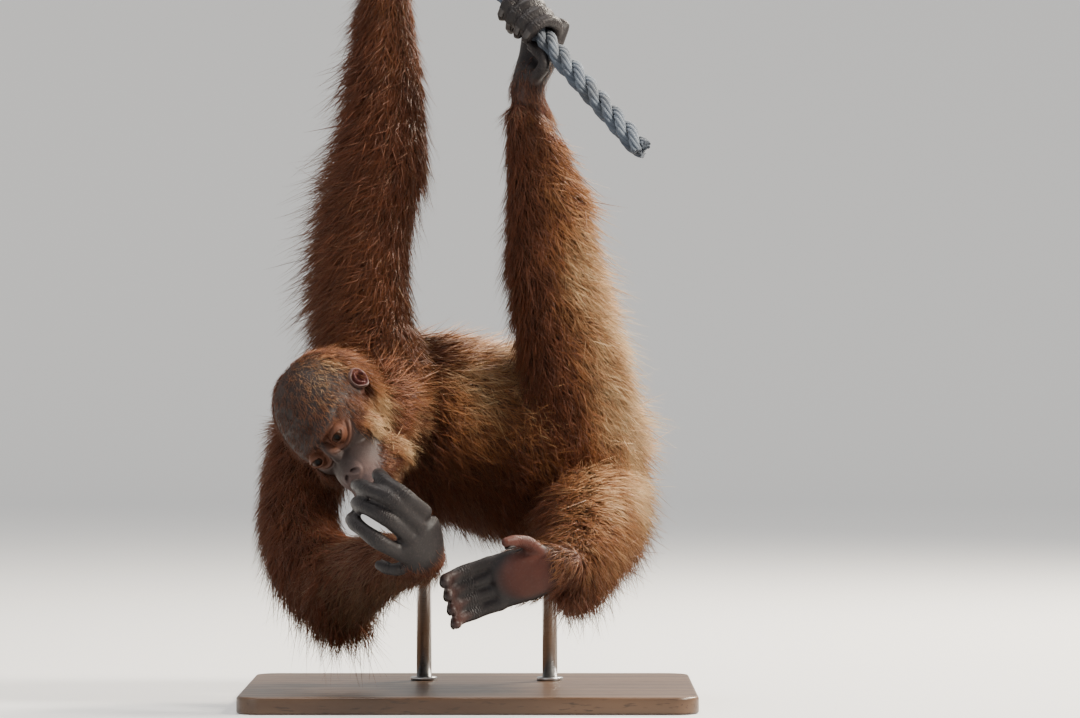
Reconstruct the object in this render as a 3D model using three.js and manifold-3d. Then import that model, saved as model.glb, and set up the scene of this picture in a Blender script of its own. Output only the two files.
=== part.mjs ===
import * as THREE from 'three';
import { mergeVertices } from 'three/addons/utils/BufferGeometryUtils.js';
import Module from 'manifold-3d';

// A young orangutan, life size, hanging by its left hand and left foot from a slanting rope.
// Millimetres, +Z up, the animal's head to -X, the viewer at -Y; the origin is under the base.

const wasm = await Module();
wasm.setup();

// Driving dimensions
const gap = 0.3; // air between two parts that touch
const coreShare = 0.42; // how far the solid core of the coat reaches from the skin to the hair tips
const lockThick = 3.6; // how far the ridge of a flat lock stands over its edges near the root
const lockSink = 8; // how deep its root lies in the core
const edgeGrowth = 20; // how many times the gap a thin edge grows by, to keep clear on the slant
const mostLift = 45; // how far the coat may bend its tip from a straight run
const ropeRadius = 12;
const ropeLay = 78; // length of one turn of a strand
const base = { length: 470, width: 380, thick: 18, corner: 26, bevel: 3 };
const rodRadius = 8;
const eyeRadius = 9;
const digitRadius = 7.2;

const at = (x, y, z) => new THREE.Vector3(x, y, z);

// The skeleton: joint centres
const joints = {
  elbowLeft: at(-84, 75, 585),
  wristLeft: at(-93, 150, 795),
  shoulderRight: at(-166, 98, 272),
  elbowRight: at(-131, -30, 134),
  wristRight: at(-38, -198, 156),
  kneeLeft: at(76, -10, 475),
  ankleLeft: at(58, 0, 622),
  hipRight: at(122, 66, 226),
  kneeRight: at(116, -90, 176),
  ankleRight: at(100, -172, 146),
};

// The rope is straight and is gripped by the left hand and the left foot
const rope = {
  along: at(0.528, -0.556, -0.64).normalize(),
  footGrip: at(63, 10, 714),
  handGrip: at(-89, 170, 898),
  upperEnd: 72, // lengths past each grip
  lowerEnd: 218,
};

// Solids

function toSolid(geometry) {
  const bare = geometry.index ? geometry.toNonIndexed() : geometry.clone();
  bare.deleteAttribute('normal');
  bare.deleteAttribute('uv');
  const merged = mergeVertices(bare, 1e-4);
  return new wasm.Manifold(new wasm.Mesh({
    numProp: 3,
    vertProperties: new Float32Array(merged.attributes.position.array),
    triVerts: new Uint32Array(merged.index.array),
  }));
}

const unite = (solids) => solids.reduce((sum, solid) => sum.add(solid));

function largestPiece(solid) {
  const pieces = solid.decompose();
  return pieces.reduce((best, piece) => (piece.volume() > best.volume() ? piece : best));
}

function toMesh(name, solid, material) {
  const { vertProperties, triVerts, numProp } = solid.getMesh();
  const geometry = new THREE.BufferGeometry();
  const positions = new Float32Array((vertProperties.length / numProp) * 3);
  for (let i = 0; i < positions.length / 3; i += 1) {
    for (let k = 0; k < 3; k += 1) positions[i * 3 + k] = vertProperties[i * numProp + k];
  }
  geometry.setAttribute('position', new THREE.BufferAttribute(positions, 3));
  geometry.setIndex(new THREE.BufferAttribute(new Uint32Array(triVerts), 1));
  geometry.computeVertexNormals();
  const mesh = new THREE.Mesh(geometry, material);
  mesh.name = name;
  return mesh;
}

// Swept bodies: an ellipse that changes size along a curve, with a dome at each end

const between = (values, t) => {
  const place = THREE.MathUtils.clamp(t, 0, 1) * (values.length - 1);
  const i = Math.min(Math.floor(place), values.length - 2);
  const s = place - i;
  const ease = s * s * (3 - 2 * s);
  return values[i] * (1 - ease) + values[i + 1] * ease;
};

function betweenVectors(vectors, t) {
  const place = THREE.MathUtils.clamp(t, 0, 1) * (vectors.length - 1);
  const i = Math.min(Math.floor(place), vectors.length - 2);
  return vectors[i].clone().lerp(vectors[i + 1], place - i).normalize();
}

// The section of a body at t: its centre, its direction, its two axes and their half sizes
function section(body, t) {
  const along = body.curve.getTangent(THREE.MathUtils.clamp(t, 0, 1));
  const side = betweenVectors(body.sideways, t);
  side.addScaledVector(along, -side.dot(along)).normalize();
  return {
    centre: body.curve.getPoint(THREE.MathUtils.clamp(t, 0, 1)),
    along,
    side,
    front: along.clone().cross(side),
    wide: between(body.wide, t),
    deep: between(body.deep, t),
    coat: between(body.coat, t),
  };
}

// The hair is longer where it hangs as a fringe
function coatDepth(body, cut, out) {
  if (!body.fringe) return cut.coat;
  const towards = Math.max(0, out.dot(body.fringe.towards));
  return cut.coat + between(body.fringe.extra, cut.t) * towards ** 1.5;
}

// A point on the body's surface: t runs along it, angle runs round it, share 0 is skin, 1 is tips
function surfacePoint(body, t, angle, share, extra = 0) {
  const cut = { ...section(body, t), t };
  const c = Math.cos(angle);
  const s = Math.sin(angle);
  const out = cut.side.clone().multiplyScalar(c / cut.wide)
    .addScaledVector(cut.front, s / cut.deep).normalize();
  const skin = cut.centre.clone().addScaledVector(cut.side, c * cut.wide)
    .addScaledVector(cut.front, s * cut.deep);
  const depth = coatDepth(body, cut, out);
  return { ...cut, out, skin, depth, point: skin.clone().addScaledVector(out, depth * share + extra) };
}

function limb({ path, sideways, wide, deep, coat = [0, 0], fringe, ends, sides = 10, rings = 8 }) {
  return {
    curve: new THREE.CatmullRomCurve3(path, false, 'centripetal'),
    sideways: Array.isArray(sideways) ? sideways : [sideways, sideways],
    wide,
    deep,
    coat,
    fringe,
    ends,
    sides,
    rings,
  };
}

function limbSolid(body, share, extra = 0) {
  const geometry = new THREE.SphereGeometry(1, body.sides, body.rings);
  const position = geometry.attributes.position;
  const dome = 2 / body.rings;
  const vertex = at(0, 0, 0);
  for (let i = 0; i < position.count; i += 1) {
    vertex.fromBufferAttribute(position, i);
    const latitude = Math.acos(THREE.MathUtils.clamp(vertex.y, -1, 1)) / Math.PI;
    const angle = Math.atan2(vertex.z, vertex.x);
    const t = (latitude - dome) / (1 - 2 * dome);
    const beyond = t < 0 ? -latitude / dome + 1 : t > 1 ? (latitude - 1) / dome + 1 : 0;
    const spread = Math.cos(beyond * Math.PI / 2);
    const edge = surfacePoint(body, t, angle, share, extra);
    const end = beyond === 0 ? 0 : body.ends[t < 0 ? 0 : 1] + edge.coat * share + extra;
    const place = edge.centre.clone().lerp(edge.point, spread)
      .addScaledVector(edge.along, (t < 0 ? -1 : 1) * end * Math.sin(beyond * Math.PI / 2));
    position.setXYZ(i, place.x, place.y, place.z);
  }
  return toSolid(geometry);
}

// The place on a body nearest a point: t, the angle round it, and how far it lies past an end
function nearestOn(body, point) {
  const steps = 20;
  let t = 0;
  let nearest = Infinity;
  for (let i = 0; i <= steps; i += 1) {
    const distance = body.curve.getPoint(i / steps).distanceTo(point);
    if (distance < nearest) {
      nearest = distance;
      t = i / steps;
    }
  }
  const coarse = section(body, t);
  t += point.clone().sub(coarse.centre).dot(coarse.along) / body.curve.getLength();
  const cut = section(body, t);
  const offset = point.clone().sub(cut.centre);
  const axial = offset.dot(cut.along);
  const angle = Math.atan2(offset.dot(cut.front) / cut.deep, offset.dot(cut.side) / cut.wide);
  return {
    t: THREE.MathUtils.clamp(t, 0, 1),
    angle,
    past: t > 1 || t < 0 ? axial : 0,
    across: Math.sqrt(Math.max(0, offset.lengthSq() - axial ** 2)),
  };
}

// The same place on the surface that has the given share of the coat, over a dome too
function onSurface(body, place, share) {
  const edge = surfacePoint(body, place.t, place.angle, share);
  const dome = body.ends[place.past > 0 ? 1 : 0] + edge.coat * share;
  const past = THREE.MathUtils.clamp(place.past, -dome * 0.96, dome * 0.96);
  const spread = Math.sqrt(1 - (past / dome) ** 2);
  return edge.centre.clone().lerp(edge.point, spread).addScaledVector(edge.along, past);
}

// How far out a point lies in a body: 1 on the surface of that share of the coat, moved out by a margin
function levelIn(body, point, share, margin = 0) {
  const place = nearestOn(body, point);
  const edge = surfacePoint(body, place.t, place.angle, share);
  const dome = body.ends[place.past > 0 ? 1 : 0] + edge.coat * share + margin;
  const reach = edge.centre.distanceTo(edge.point) + margin;
  return Math.hypot(place.across / reach, place.past / dome);
}

// The point of the whole animal's coat nearest a point: on the body in which it lies deepest
function onCoat(point, share) {
  const bodies = Object.values(limbs);
  const levels = bodies.map((body) => levelIn(body, point, share));
  const body = bodies[levels.indexOf(Math.min(...levels))];
  return onSurface(body, nearestOn(body, point), share);
}

// Locks of hair: flat and tapered, bent along the lie of the coat

// The same sequence of draws on every run
function drawFrom(seed) {
  let state = seed;
  return () => {
    state = (state * 48271) % 2147483647;
    return state / 2147483647;
  };
}

// Three sides and three steps along a bent path: two thin edges and a low ridge that faces outwards.
// With an extra it grows that much or more all round, most at its thin edges
function lockSolid({ path, out, width }, extra = 0) {
  const geometry = new THREE.ConeGeometry(1, 1, 3, 3);
  const curve = new THREE.QuadraticBezierCurve3(...path);
  const position = geometry.attributes.position;
  const across = path[2].clone().sub(path[0]).cross(out).normalize();
  const vertex = at(0, 0, 0);
  for (let i = 0; i < position.count; i += 1) {
    vertex.fromBufferAttribute(position, i);
    const s = vertex.y + 0.5;
    const round = Math.atan2(vertex.x, vertex.z);
    const along = curve.getTangent(s);
    const over = across.clone().cross(along);
    const taper = Math.hypot(vertex.x, vertex.z) > 1e-6 ? 0.66 + 0.95 * s - 1.4 * s * s : 0;
    const place = curve.getPoint(s);
    if (taper > 0) {
      const rise = Math.cos(round) * lockThick * (1.1 - 0.7 * s);
      place.addScaledVector(across, Math.sin(round) * (width * taper + extra * edgeGrowth))
        .addScaledVector(over, rise + Math.sign(rise) * extra * 2)
        .addScaledVector(along, s < 0.1 ? -extra : 0);
    } else {
      const onward = path[2].clone().sub(curve.getPoint(2 / 3)).normalize();
      place.addScaledVector(onward, extra * edgeGrowth);
    }
    position.setXYZ(i, place.x, place.y, place.z);
  }
  return toSolid(geometry);
}

// Rows of locks over a limb, each set between the roots of the row before
function coatLocks(name, { from, to, rows, around, length, width, along, hang, seed }) {
  const body = limbs[name];
  const others = Object.keys(limbs).filter((other) => other !== name).map((other) => limbs[other]);
  const isTaken = (point, margin) => (
    isInHead(point, margin) || others.some((other) => levelIn(other, point, coreShare, margin) < 1));
  const draw = drawFrom(seed);
  const locks = [];
  for (let row = 0; row < rows; row += 1) {
    for (let k = 0; k < around; k += 1) {
      const t = THREE.MathUtils.lerp(from, to, (row + 0.4 * draw()) / Math.max(1, rows - 0.6));
      const angle = (k + 0.5 * (row % 2) + 0.3 * (draw() - 0.5)) / around * Math.PI * 2;
      const size = 0.85 + 0.3 * draw();
      const swing = 0.35 * (draw() - 0.5);
      const root = surfacePoint(body, t, angle, coreShare);
      const run = hang.clone().addScaledVector(root.along, along);
      run.addScaledVector(root.out, -run.dot(root.out)).normalize();
      run.addScaledVector(run.clone().cross(root.out), swing).normalize();
      const ahead = (part) => root.point.clone().addScaledVector(run, length * size * part);
      const middle = onCoat(ahead(0.5), 0.95);
      const tip = onCoat(ahead(1), 1);
      if (isTaken(root.point, 1) || isTaken(middle, 1) || isTaken(tip, 1)) continue;
      if (tip.distanceTo(ahead(1)) > mostLift) continue;
      const sunk = root.point.clone().addScaledVector(root.out, -lockSink);
      const bend = middle.clone().multiplyScalar(2).addScaledVector(sunk, -0.5).addScaledVector(tip, -0.5);
      locks.push({ path: [sunk, bend, tip], out: root.out, width: width * size });
    }
  }
  return locks;
}

// An ellipsoid on three given axes
function egg(centre, axes, radii, extra = 0, sides = 14, rings = 10) {
  const geometry = new THREE.SphereGeometry(1, sides, rings);
  const turn = new THREE.Matrix4().makeBasis(
    axes[0].clone().multiplyScalar(radii[0] + extra),
    axes[1].clone().multiplyScalar(radii[1] + extra),
    axes[2].clone().multiplyScalar(radii[2] + extra),
  ).setPosition(centre);
  geometry.applyMatrix4(turn);
  return toSolid(geometry);
}

// A thin digit: a tube of even width through a few knuckles
function digit(points, sideways, radius = digitRadius, tip = 0.8) {
  return limb({
    path: points,
    sideways,
    wide: [radius * 1.05, radius * 0.95, radius, radius * tip],
    deep: [radius, radius * 0.9, radius * 0.95, radius * tip],
    ends: [radius * 0.7, radius * 0.8],
    sides: 6,
    rings: 6,
  });
}

// Head: its own axes are the animal's left, the crown and the face

const headAxes = (() => {
  const crown = at(-0.831, -0.258, 0.486).normalize();
  const face = at(-0.05, -0.844, -0.53);
  face.addScaledVector(crown, -face.dot(crown)).normalize();
  return { left: crown.clone().cross(face).normalize(), crown, face };
})();
const headCentre = at(-141.5, -62, 301.5);
const headBasis = [headAxes.left, headAxes.crown, headAxes.face];

function onHead(left, crown, face) {
  return headCentre.clone().addScaledVector(headAxes.left, left)
    .addScaledVector(headAxes.crown, crown).addScaledVector(headAxes.face, face);
}

// The masses that the head is blended from, each an ellipsoid: [left, crown, face] from the head's
// centre, and its half sizes along the same three axes
const masses = {
  skull: { centre: [0, 13, -8], radii: [50, 51, 62] },
  temples: { centre: [0, 4, 26], radii: [43, 38, 34] },
  brow: { centre: [0, 15, 46], radii: [31, 10, 21] },
  cheekbones: { centre: [0, -16, 36], radii: [40, 24, 29] },
  noseBridge: { centre: [0, -12, 58], radii: [7, 22, 14] },
  muzzle: { centre: [0, -40, 52], radii: [30, 27, 36] },
  lips: { centre: [0, -53, 60], radii: [27, 17, 36] },
  jaw: { centre: [0, -60, 34], radii: [29, 22, 42] },
};
const hairMasses = {
  cap: { centre: [0, 13, -16], radii: [57, 60, 66] },
  leftCheek: { centre: [28, -32, 8], radii: [30, 38, 36] },
  rightCheek: { centre: [-28, -32, 8], radii: [30, 38, 36] },
};
const headHair = 11; // length of the hair over the core of those masses
const headBlend = 16; // higher keeps the masses more distinct
const eyeAt = { left: 19, crown: 0, face: 58 };
const lidOver = 2.2; // how thick a lid lies over the eye
const lidSlit = { ahead: 12, radii: [8.2, 4.4, 12] };
const mouth = { crown: -53, face: 82, width: 25, height: 1, depth: 17 };
const nostril = { left: 6.5, crown: -32, face: 84, radii: [3.4, 2.4, 8] };
const ear = {
  left: 53, crown: 2, face: -2, high: 16, wide: 12, thick: 6, turn: 0.5,
  parting: { left: 66, radii: [18, 20, 16] }, // where the hair opens round it
};

// How far a mass reaches from the head's centre in a direction
function reachOf({ centre, radii }, towards, extra) {
  const d = towards.map((v, k) => v / (radii[k] + extra));
  const c = centre.map((v, k) => v / (radii[k] + extra));
  const dd = d[0] ** 2 + d[1] ** 2 + d[2] ** 2;
  const dc = d[0] * c[0] + d[1] * c[1] + d[2] * c[2];
  const cc = c[0] ** 2 + c[1] ** 2 + c[2] ** 2;
  const root = dc ** 2 - dd * (cc - 1);
  return root > 0 ? Math.max(0, (dc + Math.sqrt(root)) / dd) : 0;
}

function headReach(parts, towards, extra = 0) {
  const sum = parts.reduce((total, part) => total + reachOf(part, towards, extra) ** headBlend, 0);
  return sum ** (1 / headBlend) + extra / 2;
}

// One closed surface over all the masses, finest at the face
function blendedHead(parts, extra = 0, sides = 20, rings = 16) {
  const geometry = new THREE.SphereGeometry(1, sides, rings);
  const position = geometry.attributes.position;
  const vertex = at(0, 0, 0);
  for (let i = 0; i < position.count; i += 1) {
    vertex.fromBufferAttribute(position, i);
    const latitude = Math.acos(THREE.MathUtils.clamp(vertex.y, -1, 1)) / Math.PI;
    const polar = Math.PI * (0.55 * latitude + 0.45 * latitude ** 2);
    const round = Math.atan2(vertex.z, vertex.x);
    const towards = [
      Math.sin(polar) * Math.cos(round), -Math.sin(polar) * Math.sin(round), Math.cos(polar),
    ];
    const reach = headReach(parts, towards, extra);
    const place = onHead(...towards.map((v) => v * reach));
    position.setXYZ(i, place.x, place.y, place.z);
  }
  return toSolid(geometry);
}

function onEye(side, ahead, radii, extra = 0) {
  const centre = onHead(side * eyeAt.left, eyeAt.crown, eyeAt.face + ahead);
  return egg(centre, headBasis, radii, extra, 10, 8);
}

const eyeball = (side, extra = 0) => onEye(side, 0, [eyeRadius, eyeRadius, eyeRadius], extra);

// The cup of an ear: a shallow dish that opens outwards and forwards
function earCup(side, extra = 0) {
  const outwards = headAxes.left.clone().multiplyScalar(side * Math.cos(ear.turn))
    .addScaledVector(headAxes.face, Math.sin(ear.turn));
  const axes = [outwards, headAxes.crown, outwards.clone().cross(headAxes.crown)];
  const centre = onHead(side * ear.left, ear.crown, ear.face);
  const rim = egg(centre, axes, [ear.thick, ear.high, ear.wide], extra, 10, 7);
  if (extra > 0) return rim;
  const hollow = centre.clone().addScaledVector(outwards, ear.thick * 0.85);
  return rim.subtract(egg(hollow, axes, [ear.thick * 0.9, ear.high * 0.74, ear.wide * 0.7], 0, 8, 5));
}

const bareHead = Object.values(masses);
const shortened = ({ centre, radii }, share) => (
  { centre, radii: radii.map((radius) => radius - headHair * (1 - share)) });
const hairAt = (share) => Object.values(hairMasses).map((mass) => shortened(mass, share));
const headCore = [...bareHead, ...hairAt(coreShare)];
const headTips = [...bareHead, ...hairAt(1)];

function isInHead(point, margin) {
  const offset = point.clone().sub(headCentre);
  const towards = headBasis.map((axis) => offset.dot(axis) / offset.length());
  return offset.length() < headReach(headCore, towards) + margin;
}

// Short locks in rings round the whorl at the back of the crown, all running away from it
function headLocks({ whorl, rings, lengthAngle, width, bareFrom, earClear, seed }) {
  const draw = drawFrom(seed);
  const pole = at(...whorl).normalize();
  const first = at(1, 0, 0);
  const second = pole.clone().cross(first).normalize();
  const spoke = (polar, round) => pole.clone().multiplyScalar(Math.cos(polar))
    .addScaledVector(first, Math.sin(polar) * Math.cos(round))
    .addScaledVector(second, Math.sin(polar) * Math.sin(round));
  const onHair = (towards, parts, extra) => {
    const list = towards.toArray();
    const reach = headReach(parts, list) + extra;
    return onHead(...list.map((v) => v * reach));
  };
  const locks = [];
  rings.forEach(({ polar, count }, ring) => {
    for (let k = 0; k < count; k += 1) {
      const round = (k + 0.5 * (ring % 2) + 0.3 * (draw() - 0.5)) / count * Math.PI * 2;
      const size = 0.85 + 0.3 * draw();
      const turn = 0.16 * (draw() - 0.5);
      const root = spoke(polar, round);
      const tip = spoke(polar + lengthAngle * size, round + turn);
      const middle = root.clone().add(tip).normalize();
      const nearEar = Math.abs(root.x) > earClear.side && Math.abs(root.y) < earClear.high
        && Math.abs(root.z) < earClear.wide;
      if (Math.max(root.z, tip.z) > bareFrom || nearEar) continue;
      const end = onHair(tip, headTips, 0);
      if ([limbs.neck, limbs.chest].some((body) => levelIn(body, end, coreShare, 2) < 1)) continue;
      const over = onHair(middle, headTips, 2);
      const sunk = onHair(root, headCore, -lockSink * 0.6);
      const bend = over.multiplyScalar(2).addScaledVector(sunk, -0.5).addScaledVector(end, -0.5);
      const out = onHair(root, headCore, 0).sub(headCentre).normalize();
      locks.push({ path: [sunk, bend, end], out, width: width * size });
    }
  });
  return locks;
}

const earSeat = (extra = 0) => blendedHead(bareHead, extra, 10, 8);
const earOnHead = (side) => earCup(side).subtract(earSeat(gap * 1.5));

function headSolid() {
  const lid = eyeRadius + lidOver;
  const parting = (side) => (
    egg(onHead(side * ear.parting.left, ear.crown, ear.face), headBasis, ear.parting.radii, 0, 10, 7)
  );
  const earRoom = (side) => parting(side).add(earCup(side, gap)).subtract(earSeat());
  let solid = blendedHead(headCore).subtract(earRoom(1)).subtract(earRoom(-1));
  for (const side of [1, -1]) {
    const hole = onHead(side * nostril.left, nostril.crown, nostril.face);
    solid = solid.add(onEye(side, -1, [lid + 1, lid, lid])).subtract(onEye(side, lidSlit.ahead, lidSlit.radii))
      .subtract(egg(hole, headBasis, nostril.radii, 0, 8, 6));
  }
  const slit = onHead(0, mouth.crown, mouth.face);
  return solid.subtract(egg(slit, headBasis, [mouth.width, mouth.height, mouth.depth], 0, 16, 4));
}

// Trunk, neck and limbs

const up = at(0, 0, 1);

const limbs = {
  neck: limb({
    path: [at(-112, -28, 306), at(-100, 6, 306), at(-86, 34, 304)],
    sideways: at(0.5, -0.5, 0.7),
    wide: [46, 52, 58],
    deep: [42, 46, 50],
    coat: [14, 18, 20],
    ends: [20, 20],
    sides: 12,
    rings: 7,
  }),
  chest: limb({
    path: [at(-122, 46, 316), at(-92, 58, 310), at(-50, 72, 297), at(-14, 82, 285)],
    sideways: [at(0.5, -0.6, 0.62), at(0.3, -0.6, 0.74)],
    wide: [66, 76, 82, 86],
    deep: [56, 64, 70, 74],
    coat: [22, 22, 22, 20],
    ends: [30, 30],
    sides: 14,
    rings: 9,
  }),
  belly: limb({
    path: [at(-10, 84, 285), at(34, 86, 275), at(78, 70, 266), at(118, 48, 258)],
    sideways: [at(0.3, -0.6, 0.74), at(-0.19, -0.56, 0.81)],
    wide: [86, 90, 84, 68],
    deep: [74, 78, 74, 60],
    coat: [20, 20, 24, 28],
    ends: [30, 30],
    sides: 14,
    rings: 10,
  }),
  upper_arm_left: limb({
    path: [at(-96, 12, 350), at(-106, 28, 420), at(-102, 50, 495), joints.elbowLeft],
    sideways: at(1, 0, 0),
    wide: [42, 34, 31, 29],
    deep: [42, 36, 32, 30],
    coat: [18, 10, 9, 9],
    fringe: { towards: at(-0.95, 0, -0.3), extra: [6, 18, 28, 34] },
    ends: [26, 18],
  }),
  forearm_left: limb({
    path: [joints.elbowLeft, at(-86, 108, 660), at(-90, 132, 730), joints.wristLeft],
    sideways: at(1, 0, 0),
    wide: [28, 27, 22, 18],
    deep: [29, 27, 21, 16],
    coat: [10, 8, 7, 5],
    fringe: { towards: at(-0.95, 0, -0.3), extra: [32, 24, 14, 4] },
    ends: [16, 12],
  }),
  upper_arm_right: limb({
    path: [joints.shoulderRight, at(-182, 72, 214), at(-172, 26, 162), joints.elbowRight],
    sideways: at(1, 0.3, 0),
    wide: [38, 32, 30, 28],
    deep: [40, 34, 31, 29],
    coat: [14, 12, 12, 14],
    fringe: { towards: at(-0.3, 0.2, -0.9), extra: [0, 6, 12, 34] },
    ends: [26, 18],
  }),
  forearm_right: limb({
    path: [joints.elbowRight, at(-98, -86, 150), at(-64, -146, 158), joints.wristRight],
    sideways: at(0.2, 0, 1),
    wide: [26, 25, 20, 16],
    deep: [27, 25, 20, 15],
    coat: [10, 8, 6, 4],
    fringe: { towards: at(0, 0, -1), extra: [26, 8, 4, 2] },
    ends: [14, 10],
  }),
  thigh_left: limb({
    path: [at(110, 28, 290), at(102, 14, 350), at(88, 2, 415), joints.kneeLeft],
    sideways: at(1, 0, 0),
    wide: [44, 40, 35, 30],
    deep: [50, 46, 38, 32],
    coat: [16, 13, 13, 13],
    fringe: { towards: at(1, 0, -0.2), extra: [0, 10, 12, 8] },
    ends: [26, 18],
  }),
  shank_left: limb({
    path: [joints.kneeLeft, at(73, -8, 530), at(65, -4, 580), joints.ankleLeft],
    sideways: at(1, 0, 0),
    wide: [29, 27, 23, 18],
    deep: [31, 29, 23, 19],
    coat: [13, 12, 8, 4],
    fringe: { towards: at(1, 0, 0.2), extra: [8, 10, 5, 0] },
    ends: [16, 10],
  }),
  thigh_right: limb({
    path: [joints.hipRight, at(124, 14, 206), at(120, -44, 190), joints.kneeRight],
    sideways: at(1, 0, 0.1),
    wide: [44, 42, 36, 31],
    deep: [46, 44, 38, 32],
    coat: [18, 17, 16, 16],
    fringe: { towards: at(0.7, 0, -0.7), extra: [4, 4, 2, 2] },
    ends: [24, 18],
  }),
  shank_right: limb({
    path: [joints.kneeRight, at(112, -118, 166), at(107, -146, 156), joints.ankleRight],
    sideways: at(1, 0, 0.1),
    wide: [30, 28, 24, 19],
    deep: [31, 28, 24, 19],
    coat: [14, 12, 10, 6],
    fringe: { towards: at(0.2, 0, -1), extra: [6, 22, 26, 14] },
    ends: [16, 8],
  }),
};

// A hand or foot closed round the rope: the sole or palm lies on one side and the digits hook over
function gripDigits({ grip, across, over, side, count, pitch, reach, start, radius }) {
  const hold = ropeRadius + radius * 1.12;
  return Array.from({ length: count }, (unused, k) => {
    const shift = (k - (count - 1) / 2) * pitch;
    const last = reach * (1 - 0.08 * Math.abs(k - 1));
    const points = [0, 0.25, 0.5, 0.75, 1].map((s) => {
      const angle = THREE.MathUtils.lerp(start, last, s);
      return grip.clone().addScaledVector(across, shift)
        .addScaledVector(side, Math.cos(angle) * hold).addScaledVector(over, Math.sin(angle) * hold);
    });
    return digit(points, across, radius);
  });
}

// Axes square to the rope: one level, and one that points up the far side of it
const ropeSide = rope.along.clone().cross(up).normalize();
const ropeOver = ropeSide.clone().cross(rope.along).normalize();

const handLeft = (() => {
  const knuckles = rope.handGrip.clone().addScaledVector(ropeSide, -(ropeRadius + 12.5));
  return [
    limb({
      path: [joints.wristLeft, joints.wristLeft.clone().lerp(knuckles, 0.5), knuckles],
      sideways: rope.along,
      wide: [18, 25, 30],
      deep: [15, 13, 11],
      ends: [8, 8],
      rings: 7,
    }),
    ...gripDigits({
      grip: rope.handGrip, across: rope.along, over: ropeOver, side: ropeSide.clone().negate(),
      count: 4, pitch: 15.8, reach: Math.PI * 1.28, start: 0.1, radius: digitRadius,
    }),
    digit([
      joints.wristLeft.clone().lerp(knuckles, 0.3).addScaledVector(rope.along, 14),
      joints.wristLeft.clone().lerp(knuckles, 0.5).addScaledVector(rope.along, 32),
      joints.wristLeft.clone().lerp(knuckles, 0.75).addScaledVector(rope.along, 42),
    ], up, digitRadius * 0.9),
  ];
})();

const footLeft = (() => {
  const ball = rope.footGrip.clone().addScaledVector(ropeSide, -(ropeRadius + 13.5));
  const heel = joints.ankleLeft.clone().add(at(14, 8, -12));
  return [
    limb({
      path: [heel, joints.ankleLeft.clone().add(at(2, 0, 16)), joints.ankleLeft.clone().lerp(ball, 0.6), ball],
      sideways: [at(0.3, -0.9, 0), rope.along],
      wide: [15, 20, 25, 28],
      deep: [15, 17, 14, 12],
      ends: [8, 8],
      rings: 8,
    }),
    ...gripDigits({
      grip: rope.footGrip, across: rope.along, over: ropeOver, side: ropeSide.clone().negate(),
      count: 4, pitch: 15.6, reach: Math.PI * 1.28, start: 0.1, radius: digitRadius,
    }),
    digit([
      joints.ankleLeft.clone().add(at(4, -8, 26)),
      joints.ankleLeft.clone().add(at(20, -24, 46)),
      rope.footGrip.clone().addScaledVector(rope.along, 14).addScaledVector(ropeOver, -24).add(at(4, -10, 6)),
    ], up, digitRadius),
  ];
})();

// The right hand is held half closed before the mouth, the little finger uppermost
const handRight = (() => {
  const fingers = [
    { knuckle: at(-42, -230, 206), bend: at(-60, -250, 222), tip: at(-90, -198, 244) },
    { knuckle: at(-48, -233, 192), bend: at(-72, -256, 218), tip: at(-112, -196, 233) },
    { knuckle: at(-54, -232, 177), bend: at(-78, -256, 200), tip: at(-112, -196, 215) },
    { knuckle: at(-59, -228, 162), bend: at(-86, -248, 177), tip: at(-117, -196, 199) },
  ];
  const across = at(-0.42, 0, -0.9).normalize();
  return [
    limb({
      path: [joints.wristRight, at(-42, -214, 166), at(-50, -230, 184)],
      sideways: across,
      wide: [18, 25, 29],
      deep: [16, 15, 12],
      ends: [8, 8],
      rings: 7,
    }),
    ...fingers.map(({ knuckle, bend, tip }) => digit(
      [knuckle, bend, bend.clone().lerp(tip, 0.5).add(at(-6, -12, 4)), tip],
      across,
      digitRadius * 1.15,
    )),
    digit([at(-52, -208, 156), at(-72, -208, 148), at(-88, -198, 152)], up, digitRadius),
  ];
})();

// The right foot turns its sole to the viewer, the toes reaching left and curled forwards
const footRight = (() => {
  const across = at(-0.25, 0, 0.97).normalize();
  const toes = [0, 1, 2, 3].map((k) => {
    const root = at(30, -190, 134).addScaledVector(across, (k - 1.5) * 14);
    return digit([
      root,
      root.clone().add(at(-24, -1, -8)),
      root.clone().add(at(-44, -12, -16)),
      root.clone().add(at(-46, -34, -19)),
    ], across);
  });
  return [
    limb({
      path: [at(106, -180, 150), at(84, -190, 148), at(58, -194, 143), at(32, -190, 135)],
      sideways: across,
      wide: [18, 24, 28, 28],
      deep: [18, 17, 13, 10],
      ends: [10, 8],
      rings: 8,
    }),
    ...toes,
    digit([at(76, -196, 164), at(58, -208, 176), at(40, -220, 176)], up, digitRadius),
  ];
})();

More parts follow.
